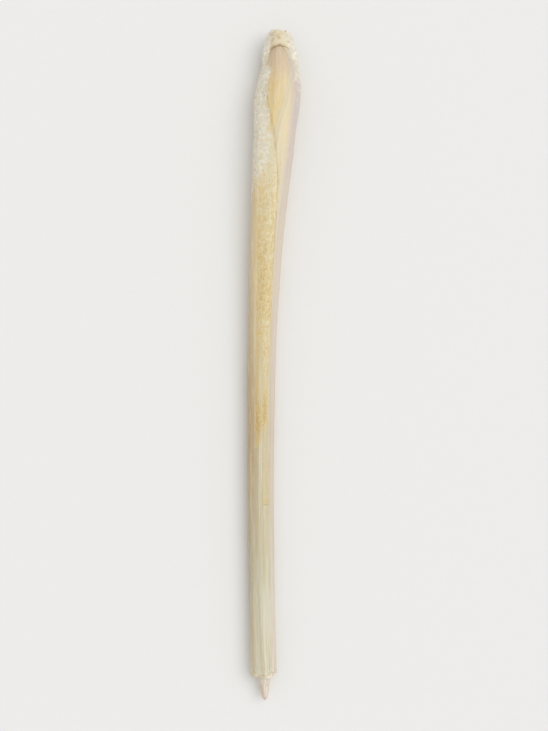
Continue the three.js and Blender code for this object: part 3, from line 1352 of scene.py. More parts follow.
@dataclass(frozen=True)
class LeafRelief:
    """How far veins, streaks and the crust of ice stand on the outside of a leaf, in metres, and where."""

    veins: int
    vein_height: float
    streak_depth: float
    crust_height: float
    streaks: Drawn = Drawn(1.0, 0.03, Grain(1.9, 3.0, 0.6), 3.0)
    ribs: Drawn = Drawn(0.3, 0.02, Grain(1.0, 2.0), 9.0)
    ribbed: Rise = Rise(0.25, 0.7)
    lumps: Grain = Grain(1300.0, 3.0, 0.65)
    lump_rise: Rise = Rise(0.36, 0.72)
    frosted: Rise = Rise(0.15, 0.8)

    def raise_on(self, piece: Object, skin: Skin) -> Object:
        """Raises parallel veins, finer uneven streaks and frost on a leaf, and gives it its materials.

        Args:
            piece: the leaf, which carries its across, skin and frost values.
            skin: the materials of its faces and of its cut faces.

        Returns:
            The leaf, as a plain mesh.
        """
        growth = Growth(f"{piece.name}_veins")
        count = growth.input("Vein Count", "Float", float(self.veins))
        tall = growth.input("Vein Height", "Float", self.vein_height)
        deep = growth.input("Streak Depth", "Float", self.streak_depth)
        thick = growth.input("Crust Height", "Float", self.crust_height)
        span = growth.input("Leaf Span", "Float", LEAF_SPAN)
        across, station = growth.carried(Field.ACROSS), growth.carried(Field.STATION)
        phase = growth.times(growth.times(growth.math("DIVIDE", across, span), count), math.tau)
        wave = growth.minus(0.0, growth.math("COSINE", phase))
        uneven = growth.centred(growth.drawn_noise(across, station, self.streaks))
        tall = growth.times(tall, growth.rise(growth.drawn_noise(across, station, self.ribs), self.ribbed))
        amount = growth.times_plus(wave, tall, growth.times(uneven, deep))
        lumps = growth.rise(growth.noise(growth.position(), self.lumps), self.lump_rise)
        crust = growth.times(lumps, growth.rise(growth.carried(Field.FROST), self.frosted))
        amount = growth.times(growth.times_plus(crust, thick, amount), growth.carried(Field.SKIN))
        offset = growth.scaled(growth.add("GeometryNodeInputNormal").outputs[0], amount)
        moved = growth.add("GeometryNodeSetPosition", {"Geometry": growth.geometry, "Offset": offset})
        return growth.run(piece, moved.outputs[0], skin.face, skin.cut)


@dataclass(frozen=True)
class CutWave:
    """One slow wave of a leaf's cut end: its height, how often it comes round the leaf, and its phase."""

    height: float
    count: float
    phase: float = 0.0


@dataclass
class RolledLeaf:
    """A leaf rolled round the stalk: a strip with an outer and an inner face and two long edges."""

    form: StalkForm
    pattern: FrostPattern
    start: float
    end: float
    veins: int
    wall_knots: Knots
    margin_wall: float = 0.18
    covered_margin_wall: float = 0.14
    margin_turn: float = 60.0
    rounding_turn: float = 3.5
    rounded_edge: float = 0.3
    smooth_edge_turn: float = 7.0
    inner_cover: float = 0.2
    points_per_vein: int = 5
    inner_share: int = 4
    ring_stops: Stops = ()
    vein_height: float = 0.03
    streak_depth: float = 0.13
    crust_height: float = 0.0
    pile_turn: float = 30.0
    ice_lap: float = 0.42
    ice_lap_length: float = 0.7
    cut_length: float = 6.0
    cut_waves: tuple[CutWave, ...] = ()
    cut_tears: tuple[Ripple, ...] = ()
    relief_knots: Knots = ((5.5, 0.5), (60, 0.7), (130, 1.0), (192, 1.15))
    seed: int = 1
    wall: Callable = field(init=False)

    def __post_init__(self) -> None:
        """Makes the wall's smooth function."""
        self.wall = along(self.wall_knots)

    def edge(self, station: Array) -> Array:
        """Returns the angle of the leaf's free edge."""
        raise NotImplementedError

    def width(self, station: Array) -> Array:
        """Returns how far round the leaf goes, in degrees."""
        raise NotImplementedError

    def inside(self, station: Array, turn: Array, angle: Array) -> Array:
        """Returns the radius of the leaf's inner face."""
        raise NotImplementedError

    def shown(self, station: Array, angle: Array) -> Array | float:
        """Returns how far a point is out from under the leaves round this one, from 0 to 1."""
        return 1.0

    def piled(self, station: Array, angle: Array) -> Array | float:
        """Returns how thick ice lies on the leaf, in millimetres."""
        return 0.0

    def stations(self) -> Array:
        """Returns the stations of the rings of points.

        Returns:
            The stations. Each of the ring stops ends a stretch that has its own number of rings, and one that
            isn't above 0 is counted from the leaf's end.
        """
        here, stations = self.start, [np.array([self.start])]
        for stop, rings in self.ring_stops:
            there = stop if stop > 0.0 else self.end + stop
            stations.append(np.linspace(here, there, rings)[1:])
            here = there
        return np.concatenate(stations)

    def trim(self, angle: Array) -> Array:
        """Returns how far past its end the leaf is cut at an angle.

        Args:
            angle: the points' angles.

        Returns:
            The distance.
        """
        turned = np.radians(angle)
        waves = sum(wave.height * np.sin(wave.count * turned + wave.phase) for wave in self.cut_waves)
        return waves + Waver(self.seed + 4).layers(angle, 0.0, self.cut_tears)

    def thickness(self, station: Array, turn: Array, width: Array) -> Array:
        """Returns the leaf's thickness, which thins towards its two long edges.

        Args:
            station: the points' stations.
            turn: how far they are from the free edge.
            width: how far round the leaf goes there.

        Returns:
            The thickness.
        """
        nearest = np.minimum(turn, width - turn)
        inside = ease((nearest - np.maximum(width - FULL_TURN, 0.0)) / self.margin_turn)
        margin = np.where(turn < width / 2.0, self.margin_wall, self.covered_margin_wall)
        wall = margin + (self.wall(station) - margin) * inside
        rounded = np.sqrt(np.clip(nearest / self.rounding_turn, 0.0, 1.0))
        return wall * (self.rounded_edge + (1.0 - self.rounded_edge) * rounded)

    def face(self, shares: Array, side: float) -> tuple[Array, Carried]:
        """Builds one face of the leaf.

        Args:
            shares: how far across the leaf its points are, from 0 to 1.
            side: 1 for the outer face and -1 for the inner one.

        Returns:
            The points and their carried values, each as rings by points.
        """
        station = self.stations()[:, None]
        width = self.width(station)
        turn = shares[None, :] * width
        angle = self.edge(station) - turn
        inside = self.inside(station, turn, angle)
        nearest = np.minimum(turn, width - turn)
        piled = self.piled(station, angle) * ease(nearest / self.pile_turn) * max(side, 0.0)
        radius = inside + (self.thickness(station, turn, width) + piled if side > 0 else 0.0)
        ending = ease((station - (self.end - self.cut_length)) / self.cut_length)
        lapping = 1.0 - ease((station - self.start) / self.ice_lap_length)
        lapped = self.ice_lap * np.minimum(piled, 1.0) * lapping
        reach = station + ending * self.trim(angle) - lapped
        points = self.form.place(reach, radius, angle)
        skin = ease(nearest / self.smooth_edge_turn) * along(self.relief_knots)(station)
        values = {
            Field.STATION: reach,
            Field.ACROSS: np.broadcast_to(shares[None, :] * LEAF_SPAN, turn.shape),
            Field.SKIN: skin if side > 0 else np.zeros_like(turn),
            Field.RIM: np.radians(turn) * inside,
        }
        for key, value in self.pattern.cover(station, angle).items():
            values[key] = value if side > 0 else value * self.inner_cover
        values[Field.FROST] = values[Field.FROST] * self.shown(station, angle)
        return points, values

    def build(self, name: str, skin: Skin) -> Object:
        """Builds the leaf with its veins.

        Args:
            name: the piece's name.
            skin: the materials of its faces and of its cut ends.

        Returns:
            The finished piece.
        """
        outer_steps = self.veins * self.points_per_vein
        inner_steps = outer_steps // self.inner_share
        outside, outer_values = self.face(np.linspace(0.0, 1.0, outer_steps + 1), 1.0)
        inside, inner_values = self.face(np.linspace(1.0, 0.0, inner_steps + 1), -1.0)
        points = np.concatenate([outside, inside], 1)
        pairs = {key: [outer_values[key], inner_values[key]] for key in outer_values}
        values = {key: np.concatenate(pair, 1).ravel() for key, pair in pairs.items()}
        rings, count = points.shape[:2]
        sides = tube_faces(rings, count)
        quads, corners = self.end_faces(outer_steps, inner_steps)
        last = (rings - 1) * count
        faces = [sides, quads[:, ::-1], quads + last, corners[:, ::-1], corners + last]
        marks = np.concatenate([np.zeros(len(sides), bool), np.ones(2 * len(quads) + 2 * len(corners), bool)])
        piece = Surface(points.reshape(-1, 3), faces, values, marks).as_object(name)
        heights = (height * MM for height in (self.vein_height, self.streak_depth, self.crust_height))
        return LeafRelief(self.veins, *heights).raise_on(piece, skin)

    def end_faces(self, outer_steps: int, inner_steps: int) -> tuple[Array, Array]:
        """Returns the four-sided and three-sided faces that close the first ring.

        Args:
            outer_steps: the steps across the outer face.
            inner_steps: the steps across the inner face.

        Returns:
            The two groups of faces.
        """
        share = outer_steps // inner_steps
        inner = outer_steps + 1 + inner_steps - np.arange(inner_steps + 1)
        first = np.arange(inner_steps) * share
        quads = np.stack([first, first + 1, inner[1:], inner[:-1]], -1)
        corners = [np.stack([first + k, first + k + 1, inner[1:]], -1) for k in range(1, share)]
        return quads, np.concatenate(corners)


@dataclass(frozen=True)
class Lump:
    """One layer of unevenness that closes on itself round the stalk."""

    height: float
    length: float
    turns: float
    shift: float


@dataclass
class OuterSheath(RolledLeaf):
    """The outermost sheath: open over the bulb, and overlapping itself from there to the leaf end."""

    ring_stops: Stops = ((45.0, 132), (-5.0, 112), (0.0, 18))
    cut_waves: tuple[CutWave, ...] = (CutWave(0.5, 1.0, 2.6), CutWave(0.2, 5.0))
    cut_tears: tuple[Ripple, ...] = (Ripple(0.2, 9.0, shift=7.0), Ripple(0.22, 3.0, shift=2.0))
    edge_wanders: tuple[Ripple, ...] = (Ripple(1.6, 7.0), Ripple(0.7, 2.1, shift=5.0))
    width_wanders: tuple[Ripple, ...] = (Ripple(1.5, 6.0, shift=9.0),)
    uneven: float = 0.09
    uneven_lumps: tuple[Lump, ...] = (Lump(1.0, 9.0, 1.5, 7.0), Lump(0.5, 3.5, 3.0, 30.0))
    even_until: float = 6.0
    uneven_length: float = 6.0

    def edge(self, station: Array) -> Array:
        """Returns the angle of its free edge, which wanders a little."""
        return Waver(self.seed + 1).layers(station, 0.0, self.edge_wanders, self.form.edge_angle(station))

    def width(self, station: Array) -> Array:
        """Returns how far round it goes."""
        whole = FULL_TURN + self.form.overlap(station)
        return Waver(self.seed + 2).layers(station, 0.0, self.width_wanders, whole)

    def inside(self, station: Array, turn: Array, angle: Array) -> Array:
        """Returns the radius of its inner face, a little uneven.

        Args:
            station: the points' stations.
            turn: how far they are from the free edge.
            angle: their angles round the stalk.

        Returns:
            The radius.
        """
        rise = ease(1.0 - turn / self.form.lift_turn)
        dip = ease(1.0 - (self.width(station) - turn) / self.form.lift_turn)
        inside = self.form.half_width(station) - self.wall(station) + self.bumps(station, angle)
        return inside + self.form.lift(station) * (rise - dip)

    def bumps(self, station: Array, angle: Array) -> Array:
        """Returns how uneven the stalk is, alike for every layer.

        Args:
            station: the points' stations.
            angle: their angles round the stalk.

        Returns:
            How far the skin stands out.
        """
        waver, turned = Waver(self.seed + 3), np.radians(angle)
        bumps = 0.0
        for lump in self.uneven_lumps:
            u = station / lump.length + lump.turns * np.sin(turned)
            bumps = bumps + lump.height * waver(u, lump.turns * np.cos(turned) + lump.shift)
        return self.uneven * bumps * ease((station - self.even_until) / self.uneven_length)

    def piled(self, station: Array, angle: Array) -> Array | float:
        """Returns how thick ice lies on it at the root end."""
        return self.pattern.bank(station, angle)


@dataclass
class SecondSheath(RolledLeaf):
    """The sheath under the outer one, which swells into the opening over the bulb."""

    ring_stops: Stops = ((36.0, 90), (-4.0, 36), (0.0, 16))
    cut_waves: tuple[CutWave, ...] = (CutWave(0.3, 1.0, 1.2), CutWave(0.15, 4.0))
    cut_tears: tuple[Ripple, ...] = (Ripple(0.12, 5.0, shift=2.0),)
    outer: OuterSheath | None = None
    gap: float = 0.03
    edge_at: float = 172.0
    slit: float = 5.0
    swell: float = 0.24
    swell_station: float = 16.0
    swell_length: float = 10.0
    swell_angle: float = -6.0
    swell_turn: float = 40.0
    tuck: float = 8.0

    def edge(self, station: Array) -> Array:
        """Returns the angle of its free edge, which is underneath."""
        return np.full_like(station, self.edge_at)

    def width(self, station: Array) -> Array:
        """Returns how far round it goes."""
        return np.full_like(station, FULL_TURN - self.slit)

    def shown(self, station: Array, angle: Array) -> Array | float:
        """Returns 1 in the outer sheath's opening and past its end, and 0 well under it.

        Args:
            station: the points' stations.
            angle: their angles round the stalk.

        Returns:
            The share that shows.
        """
        half_open = -self.form.overlap(station) / 2.0
        middle = self.form.edge_angle(station) + half_open
        away = np.abs(wrapped(angle - middle))
        return np.maximum(ease((half_open + self.tuck - away) / self.tuck), station > self.outer.end)

    def outside(self, station: Array, angle: Array) -> Array:
        """Returns the radius of its outer face.

        Args:
            station: the points' stations.
            angle: their angles round the stalk.

        Returns:
            The radius.
        """
        lengthways = ((station - self.swell_station) / self.swell_length) ** 2
        sideways = ((wrapped(angle) - self.swell_angle) / self.swell_turn) ** 2
        swell = self.swell * np.exp(-lengthways - sideways)
        room = self.outer.wall(station) + self.form.dip_under(station, angle) + self.gap
        return self.form.half_width(station) - room + swell + self.outer.bumps(station, angle)

    def inside(self, station: Array, turn: Array, angle: Array) -> Array:
        """Returns the radius of its inner face."""
        return self.outside(station, angle) - self.wall(station)


@dataclass
class ShootLeaf(RolledLeaf):
    """One young leaf of the rolled shoot, which narrows to an oblique end."""

    points_per_vein: int = 6
    margin_wall: float = 0.16
    streak_depth: float = 0.06
    vein_height: float = 0.015
    ring_stops: Stops = ((186.0, 20), (0.0, 56))
    cut_tears: tuple[Ripple, ...] = (Ripple(0.1, 9.0, shift=2.0),)
    around: SecondSheath | None = None
    inset: float = 0.06
    depth: float = 0.0
    winding: float = 0.3
    edge_at: float = 25.0
    edge_station: float = 190.0
    edge_turn: float = 1.5
    overlap: float = 60.0
    slant: float = 1.4
    slant_at: float = 160.0
    closing: Knots = (
        (180, 1.0), (192, 1.0), (193.7, 0.97), (196.4, 0.86), (198.6, 0.7), (199.4, 0.56), (199.85, 0.32),
        (200, 0.015),
    )
    kept_wall: float = 1.5
    thinnest: float = 0.12

    def edge(self, station: Array) -> Array:
        """Returns the angle of its free edge, which winds slowly round the shoot."""
        return self.edge_at + self.edge_turn * (station - self.edge_station)

    def width(self, station: Array) -> Array:
        """Returns how far round it goes."""
        return np.full_like(station, FULL_TURN + self.overlap)

    def thickness(self, station: Array, turn: Array, width: Array) -> Array:
        """Returns its thickness, which thins towards the tip."""
        return super().thickness(station, turn, width) * self.tip_share(station)

    def tip_share(self, station: Array) -> Array:
        """Returns the share of its thickness that is left near the tip."""
        return np.clip(along(self.closing)(station) * self.kept_wall, self.thinnest, 1.0)

    def inside(self, station: Array, turn: Array, angle: Array) -> Array:
        """Returns the radius of its inner face, which winds inwards.

        Args:
            station: the points' stations.
            turn: how far they are from the free edge.
            angle: their angles round the stalk.

        Returns:
            The radius.
        """
        last = self.around.end
        full = self.around.inside(np.minimum(station, last), turn, angle) - self.inset - self.depth
        wound = self.winding * turn / (FULL_TURN + self.overlap)
        return (full - wound) * along(self.closing)(station) - self.wall(station) * self.tip_share(station)

    def trim(self, angle: Array) -> Array:
        """Returns how obliquely it ends."""
        return self.slant * (np.cos(np.radians(angle - self.slant_at)) - 1.0) + super().trim(angle)


@dataclass
class Shoot:
    """The nested young leaves that stand out of the cut end."""

    form: StalkForm
    pattern: FrostPattern
    around: SecondSheath
    wall: Knots = ((30.5, 0.5), (190, 0.36), (200, 0.24))

    def leaves(self) -> list[ShootLeaf]:
        """Sizes the leaves.

        Returns:
            The leaves, from the outermost to the innermost.
        """
        places = (
            {"start": 30.5, "end": 197.6, "veins": 26, "seed": 71},
            {"start": 150.0, "end": 199.2, "veins": 22, "seed": 81},
            {"start": 170.0, "end": 200.0, "veins": 18, "seed": 91},
        )
        shapes = (
            {"edge_at": 34.0, "slant": 1.2},
            {"edge_at": -60.0, "slant": 0.8, "slant_at": 30.0, "depth": 0.3},
            {"edge_at": 40.0, "slant": 0.1, "depth": 0.56},
        )
        return [
            ShootLeaf(self.form, self.pattern, wall_knots=self.wall, around=self.around, **place, **shape)
            for place, shape in zip(places, shapes)
        ]

    def build(self, skin: Skin) -> list[Object]:
        """Builds the leaves, each as one piece."""
        return [leaf.build(f"shoot_leaf_{number}", skin) for number, leaf in enumerate(self.leaves(), 1)]


# ---------------------------------------- the stem base


@dataclass
class StemBase:
    """The short culm at the root end: its cut face, rings, root scars and trimmed roots."""

    form: StalkForm
    pattern: FrostPattern
    profile: Knots = (
        (0.0, 2.3), (0.15, 2.55), (0.6, 2.9), (1.8, 3.22), (2.4, 3.2), (3.9, 3.48), (4.5, 3.84), (5.1, 3.9),
        (5.38, 3.74), (5.5, 3.3),
    )
    skin_end: float = 5.5
    hidden_stations: tuple[float, ...] = (5.6, 7.0, 12.0)
    hidden_radius: float = 1.9
    sides: int = 168
    rows: int = 96
    smooth_angle: float = 60.0
    bank_ends: float = 5.52
    bank_edge: float = 0.1
    ring_wanders: tuple[CutWave, ...] = (CutWave(0.12, 2.0), CutWave(0.08, 3.0, 1.0))
    ridge_height: float = 0.035
    ridge_pitch: float = 0.34
    ridges_from: float = 0.4
    ridges_edge: float = 0.8
    lumps: tuple[Lump, ...] = (Lump(0.07, 0.9, 3.0, 5.0), Lump(0.05, 0.5, 5.0, 9.0))
    rim_round: float = 0.6
    relief_from: float = 0.5

    root_count: int = 11
    root_radii: tuple[float, float] = (0.26, 0.46)
    root_stations: tuple[float, float] = (0.9, 3.9)
    root_turn: float = 137.5
    root_turn_spread: float = 40.0
    root_sink: float = 0.14
    root_sides: int = 14
    root_height: float = 0.7
    root_top: float = 0.6
    root_seed: int = 7
    random_factor: int = 16807
    random_modulus: int = 2147483647

    scar_count: int = 9
    scar_radius: float = 0.3
    scar_radii: tuple[float, float] = (0.6, 1.2)
    scar_stations: tuple[float, float] = (0.9, 4.1)
    scar_spread: float = 0.3
    scar_height: float = 0.07
    scar_rim: float = 0.08
    scar_pit: float = 0.4
    pit_mark: float = 0.7
    rim_mark: float = 0.35
    rim_mark_at: float = 1.2
    rim_mark_width: float = 0.05

    face_rings: int = 18
    face_middle: float = 0.02
    face_frost: float = 0.55
    face_roughness: tuple[Lump, ...] = (Lump(0.1, 1.0, 5.0, 7.0), Lump(0.05, 1.0, 13.0, 20.0))
    face_hollow: float = 0.16
    face_sink: float = 0.06
    rough_from_middle: float = 4.0
    rough_to_rim: float = 6.0
    hollow_to_rim: float = 5.0
    cut_slope: float = 0.6
    cut_slope_angle: float = 40.0
    cut_depth: float = 2.6
    cut_torn: Lump = Lump(0.12, 1.0, 2.4, 40.0)
    seed: int = 23
    angles: Array = field(init=False)
    rim: Array = field(init=False)

    def __post_init__(self) -> None:
        """Sets the angles of the points of every ring, and the radius of the cut face's rim."""
        self.angles = np.arange(self.sides) * FULL_TURN / self.sides
        self.rim = self.radius(np.zeros(self.sides), self.angles)[0]

    def roots(self) -> list[tuple[float, float, float]]:
        """Draws the roots by the rule that the solid's roots follow.

        Returns:
            The station, the angle and the radius of each.
        """
        state = self.root_seed
        drawn = []
        for i in range(self.root_count):
            numbers = []
            for _ in range(3):
                state = state * self.random_factor % self.random_modulus
                numbers.append(state / self.random_modulus)
            station = np.interp(numbers[0], (0.0, 1.0), self.root_stations)
            angle = self.root_turn * i + self.root_turn_spread * numbers[1]
            drawn.append((station, angle, np.interp(numbers[2], (0.0, 1.0), self.root_radii)))
        return drawn

    def scars(self) -> list[tuple[float, float, float]]:
        """Returns the station, the angle and the radius of each flat root scar.

        Returns:
            The scars.
        """
        random, count = np.random.default_rng(self.seed), self.scar_count
        stations = random.uniform(*self.scar_stations, count)
        spread = random.uniform(-self.scar_spread, self.scar_spread, count)
        angles = (np.arange(count) + spread) * FULL_TURN / count
        radii = self.scar_radius * random.uniform(*self.scar_radii, count)
        return list(zip(stations, angles, radii))

    def radius(self, station: Array, angle: Array) -> tuple[Array, Array]:
        """Finds the culm's skin.

        Args:
            station: the points' distances along the stalk.
            angle: their angles round it.

        Returns:
            The radius, and how scarred the skin is there, from 0 to 1.
        """
        plain = along(self.profile)(station)
        turned = np.radians(angle)
        wander = station
        for wave in self.ring_wanders:
            wander = wander + wave.height * np.sin(turned * wave.count + wave.phase)
        ridges = self.ridge_height * np.sin(wander * math.tau / self.ridge_pitch)
        ridges = ridges * ease((station - self.ridges_from) / self.ridges_edge)
        waver, bumps = Waver(self.seed), 0.0
        for lump, way in zip(self.lumps, (np.sin(turned), np.cos(turned))):
            bumps = bumps + lump.height * waver(station / lump.length, way * lump.turns + lump.shift)
        relief, scarred = self.scarring(station, angle, plain)
        raised = (ridges + bumps) * ease(station / self.rim_round) + relief * ease(station / self.relief_from)
        return plain + raised, np.clip(scarred, 0.0, 1.0)

    def scarring(self, station: Array, angle: Array, plain: Array) -> tuple[Array, Array]:
        """Finds the marks that the roots and the scars leave.

        Args:
            station: the points' distances along the stalk.
            angle: their angles round it.
            plain: the radius of the unmarked skin.

        Returns:
            How far the marks stand out, and how dark they are.
        """
        scarred = np.zeros(np.broadcast_shapes(station.shape, angle.shape))
        relief = np.zeros_like(scarred)
        for at, around, size in [*self.scars(), *self.roots()]:
            away = np.hypot(station - at, np.radians(wrapped(angle - around)) * plain) / size
            pit = np.exp(-(away**2) / self.scar_pit)
            relief += self.scar_height * np.exp(-((away - 1.0) ** 2) / self.scar_rim) - self.scar_height * pit
            rim = np.exp(-((away - self.rim_mark_at) ** 2) / self.rim_mark_width)
            scarred = np.maximum(scarred, self.pit_mark * pit + self.rim_mark * rim)
        return relief, scarred

    def ring(
        self, station: Array, radius: Array, scarred: Array, kept_frost: float = 1.0
    ) -> tuple[Array, Carried]:
        """Builds one ring of points, sloped and torn near the cut.

        Args:
            station: the points' distances along the stalk.
            radius: their distances from its axis.
            scarred: how scarred the skin is there.
            kept_frost: the share of the frost that shows.

        Returns:
            The points and their carried values.
        """
        turned = np.radians(self.angles)
        torn = Waver(self.seed + 1)(
            self.cut_torn.turns * np.sin(turned) + self.cut_torn.shift,
            self.cut_torn.turns * np.cos(turned) + self.cut_torn.shift,
        )
        across = radius / self.rim * np.sin(np.radians(self.angles + self.cut_slope_angle))
        ragged = self.cut_torn.height * (1.0 + torn) * radius / self.rim
        slope = (self.cut_slope * (0.5 + 0.5 * across) + ragged) * (1.0 - ease(station / self.cut_depth))
        points = self.form.place(station + slope, radius, self.angles)
        frost = self.pattern.cover(station, self.angles)[Field.FROST] * kept_frost
        return points, {Field.STATION: station, Field.SCAR: scarred, Field.FROST: frost}

    def face_ring(self, number: int) -> tuple[Array, Carried]:
        """Builds one ring of the rough, slightly hollow cut face, counted from its middle.

        Args:
            number: the ring's number.

        Returns:
            The points and their carried values.
        """
        share, turned = (number + self.face_middle) / self.face_rings, np.radians(self.angles)
        x, z = share * np.sin(turned), share * np.cos(turned)
        waver, rough = Waver(self.seed + 1), 0.0
        for lump in self.face_roughness:
            rough = rough + lump.height * waver(x * lump.turns + lump.shift, z * lump.turns + lump.shift)
        inner, outer = ease(share * self.rough_from_middle), ease((1.0 - share) * self.rough_to_rim)
        sunk = self.face_hollow * (1.0 - share**2) + self.face_sink - rough * inner * outer
        station = np.maximum(sunk, 0.0) * ease((1.0 - share) * self.hollow_to_rim)
        return self.ring(station, self.rim * share, np.zeros(self.sides), self.face_frost)

    def skin_ring(self, station: float) -> tuple[Array, Carried]:
        """Builds one ring of the skin, with the ice that is banked on it.

        Args:
            station: the ring's station.

        Returns:
            The points and their carried values.
        """
        at = np.full(self.sides, station)
        radius, scarred = self.radius(at, self.angles)
        banked = self.pattern.bank(at, self.angles) * ease((self.bank_ends - at) / self.bank_edge)
        return self.ring(at, radius + banked, scarred)

    def hidden_ring(self, station: float) -> tuple[Array, Carried]:
        """Builds one ring of the narrow part that the sheaths hide."""
        radius = np.full(self.sides, self.hidden_radius)
        return self.ring(np.full(self.sides, station), radius, np.zeros(self.sides))

    def skin(self) -> Surface:
        """Builds the culm, from the middle of its cut face to where it is hidden in the sheaths.

        Returns:
            The culm's surface.
        """
        rings = [self.face_ring(number) for number in range(self.face_rings)]
        rings += [self.skin_ring(station) for station in np.linspace(0.0, self.skin_end, self.rows)]
        rings += [self.hidden_ring(station) for station in self.hidden_stations]
        points = np.concatenate([ring[0] for ring in rings])
        fields = {key: np.concatenate([values[key] for _, values in rings]) for key in rings[0][1]}
        disc = np.arange(self.sides)[None, :]
        sides = tube_faces(len(rings), self.sides)
        marks = np.zeros(len(sides) + 2, bool)
        marks[: self.face_rings * self.sides] = True
        marks[-2:] = True
        faces = [sides[:, ::-1], disc, disc[:, ::-1] + (len(rings) - 1) * self.sides]
        return Surface(points, faces, fields, marks, self.smooth_angle)

    def build(self, skin: Skin, root: Material) -> list[Object]:
        """Builds the stem base and its trimmed roots.

        Args:
            skin: the materials of the culm.
            root: the material of the roots.

        Returns:
            The culm and the roots.
        """
        growth = Growth("culm_finish")
        culm = growth.run(self.skin().as_object("stem_culm"), growth.geometry, skin.face, skin.cut)
        return [culm, self.grow_roots(root)]

    def grow_roots(self, material: Material) -> Object:
        """Sets a short, cut root on each root's place.

        Args:
            material: what the roots are made of.

        Returns:
            The roots.
        """
        station, angle, radius = np.array(self.roots()).T
        skin = along(self.profile)(station)
        points = self.form.place(station, skin - self.root_sink, angle)
        facing = self.form.place(station, skin + 1.0, angle) - points
        facing /= np.linalg.norm(facing, axis=1)[:, None]
        fields = {Field.FACING: facing, Field.WIDTH: radius * MM}
        piece = Surface(points, [], fields).as_object("trimmed_roots")
        growth = Growth("trimmed_roots")
        sides = growth.input("Root Sides", "Int", self.root_sides)
        height = growth.input("Root Height", "Float", self.root_height)
        top = growth.input("Root Top", "Float", self.root_top)
        feeds = {"Vertices": sides, "Side Segments": 3, "Fill Segments": 2}
        cone = growth.cone({**feeds, "Radius Top": top, "Radius Bottom": 1.0, "Depth": height})
        placed = growth.set_out(cone, growth.geometry, growth.facing(), growth.carried(Field.WIDTH))
        return growth.run(piece, placed, material)


# ---------------------------------------- small growths


@dataclass
class FrostCrystals:
    """Loose ice grains that sit where the skin is frosted."""

    grains_per_square_mm: float = 12.0
    smallest: float = 0.04
    largest: float = 0.1
    threshold: float = 0.25
    clear_height: float = 0.3
    drifts: Grain = Grain(420.0, 2.0)
    narrowest: float = 0.5
    widest: float = 1.5
    seed: int = 5

    def build(self, on: Object, name: str, material: Material) -> Object:
        """Scatters the grains over a piece.

        Args:
            on: the piece that they sit on, which carries its frost.
            name: the new piece's name.
            material: what they are made of.

        Returns:
            The grains, as one piece.
        """
        piece, growth = new_object(name, on.data.copy()), Growth(name)
        density = growth.input("Grains Per Square Metre", "Float", self.grains_per_square_mm / MM**2)
        small = growth.input("Smallest Grain", "Float", self.smallest * MM)
        large = growth.input("Largest Grain", "Float", self.largest * MM)
        clearance = growth.input("Clear Height", "Float", self.clear_height * MM)
        seed = growth.input("Seed", "Int", self.seed)
        where = growth.position()
        icy = growth.plus(growth.carried(Field.FROST), growth.centred(growth.noise(where, self.drifts)))
        amount = growth.times(density, growth.rise(icy, Rise(self.threshold, 1.0)))
        height = growth.add("ShaderNodeSeparateXYZ", {0: where}).outputs["Z"]
        amount = growth.times(amount, growth.math("GREATER_THAN", height, clearance))
        feeds = {"Mesh": growth.geometry, "Density": amount, "Seed": seed}
        scattered = growth.add("GeometryNodeDistributePointsOnFaces", feeds).outputs["Points"]
        grain = growth.add("GeometryNodeMeshIcoSphere", {"Radius": 1.0, "Subdivisions": 1}).outputs["Mesh"]
        size = growth.add("FunctionNodeRandomValue", {2: small, 3: large, "Seed": seed}, data_type="FLOAT")
        turn = self.drawn_vector(growth, 0.0, math.tau, seed)
        shape = growth.scaled(self.drawn_vector(growth, self.narrowest, self.widest, seed), size.outputs[1])
        return growth.run(piece, growth.set_out(grain, scattered, turn, shape), material)

    def drawn_vector(self, growth: Growth, low: float, high: float, seed: Socket) -> Socket:
        """Returns a random vector whose three values lie between a low and a high one."""
        feeds = {0: (low,) * 3, 1: (high,) * 3, "Seed": seed}
        return growth.add("FunctionNodeRandomValue", feeds, data_type="FLOAT_VECTOR").outputs[0]


@dataclass
class FrayedFibres:
    """Short fibres that stand out of a sheath's cut end."""

    leaf: RolledLeaf
    count: int = 110
    length: float = 0.5
    radius: float = 0.04
    sides: int = 6
    tip: float = 0.25
    spread: tuple[float, float] = (0.1, 0.9)
    splay: float = 0.35
    shares: tuple[float, float] = (0.4, 1.0)
    seed: int = 3

    def build(self, name: str, material: Material) -> Object:
        """Sets the fibres round the cut.

        Args:
            name: the piece's name.
            material: what they are made of.

        Returns:
            The fibres, as one piece.
        """
        random = np.random.default_rng(self.seed)
        leaf, station = self.leaf, np.full(self.count, self.leaf.end)
        width = leaf.width(station)
        turn = width * (np.arange(self.count) + random.uniform(*self.spread, self.count)) / self.count
        angle = leaf.edge(station) - turn
        depth = random.uniform(*self.spread, self.count) * leaf.thickness(station, turn, width)
        points = leaf.form.place(station + leaf.trim(angle), leaf.inside(station, turn, angle) + depth, angle)
        splay = random.uniform(-self.splay, self.splay, (self.count, 2))
        facing = np.stack([splay[:, 0], -np.ones(self.count), splay[:, 1]], -1)
        fields = {Field.FACING: facing, Field.WIDTH: random.uniform(*self.shares, self.count)}
        piece = Surface(points, [], fields).as_object(name)
        growth = Growth(name)
        long = growth.input("Fibre Length", "Float", self.length * MM)
        thick = growth.input("Fibre Radius", "Float", self.radius * MM)
        tip = growth.input("Fibre Tip", "Float", self.tip)
        feeds = {"Vertices": self.sides, "Side Segments": 2, "Radius Top": tip}
        cone = growth.cone({**feeds, "Radius Bottom": 1.0, "Depth": 2.0})
        half_length = growth.times(long, growth.times(growth.carried(Field.WIDTH), 0.5))
        scale = growth.vector(thick, thick, half_length)
        placed = growth.set_out(cone, growth.geometry, growth.facing(), scale)
        return growth.run(piece, placed, material)


# ---------------------------------------- studio


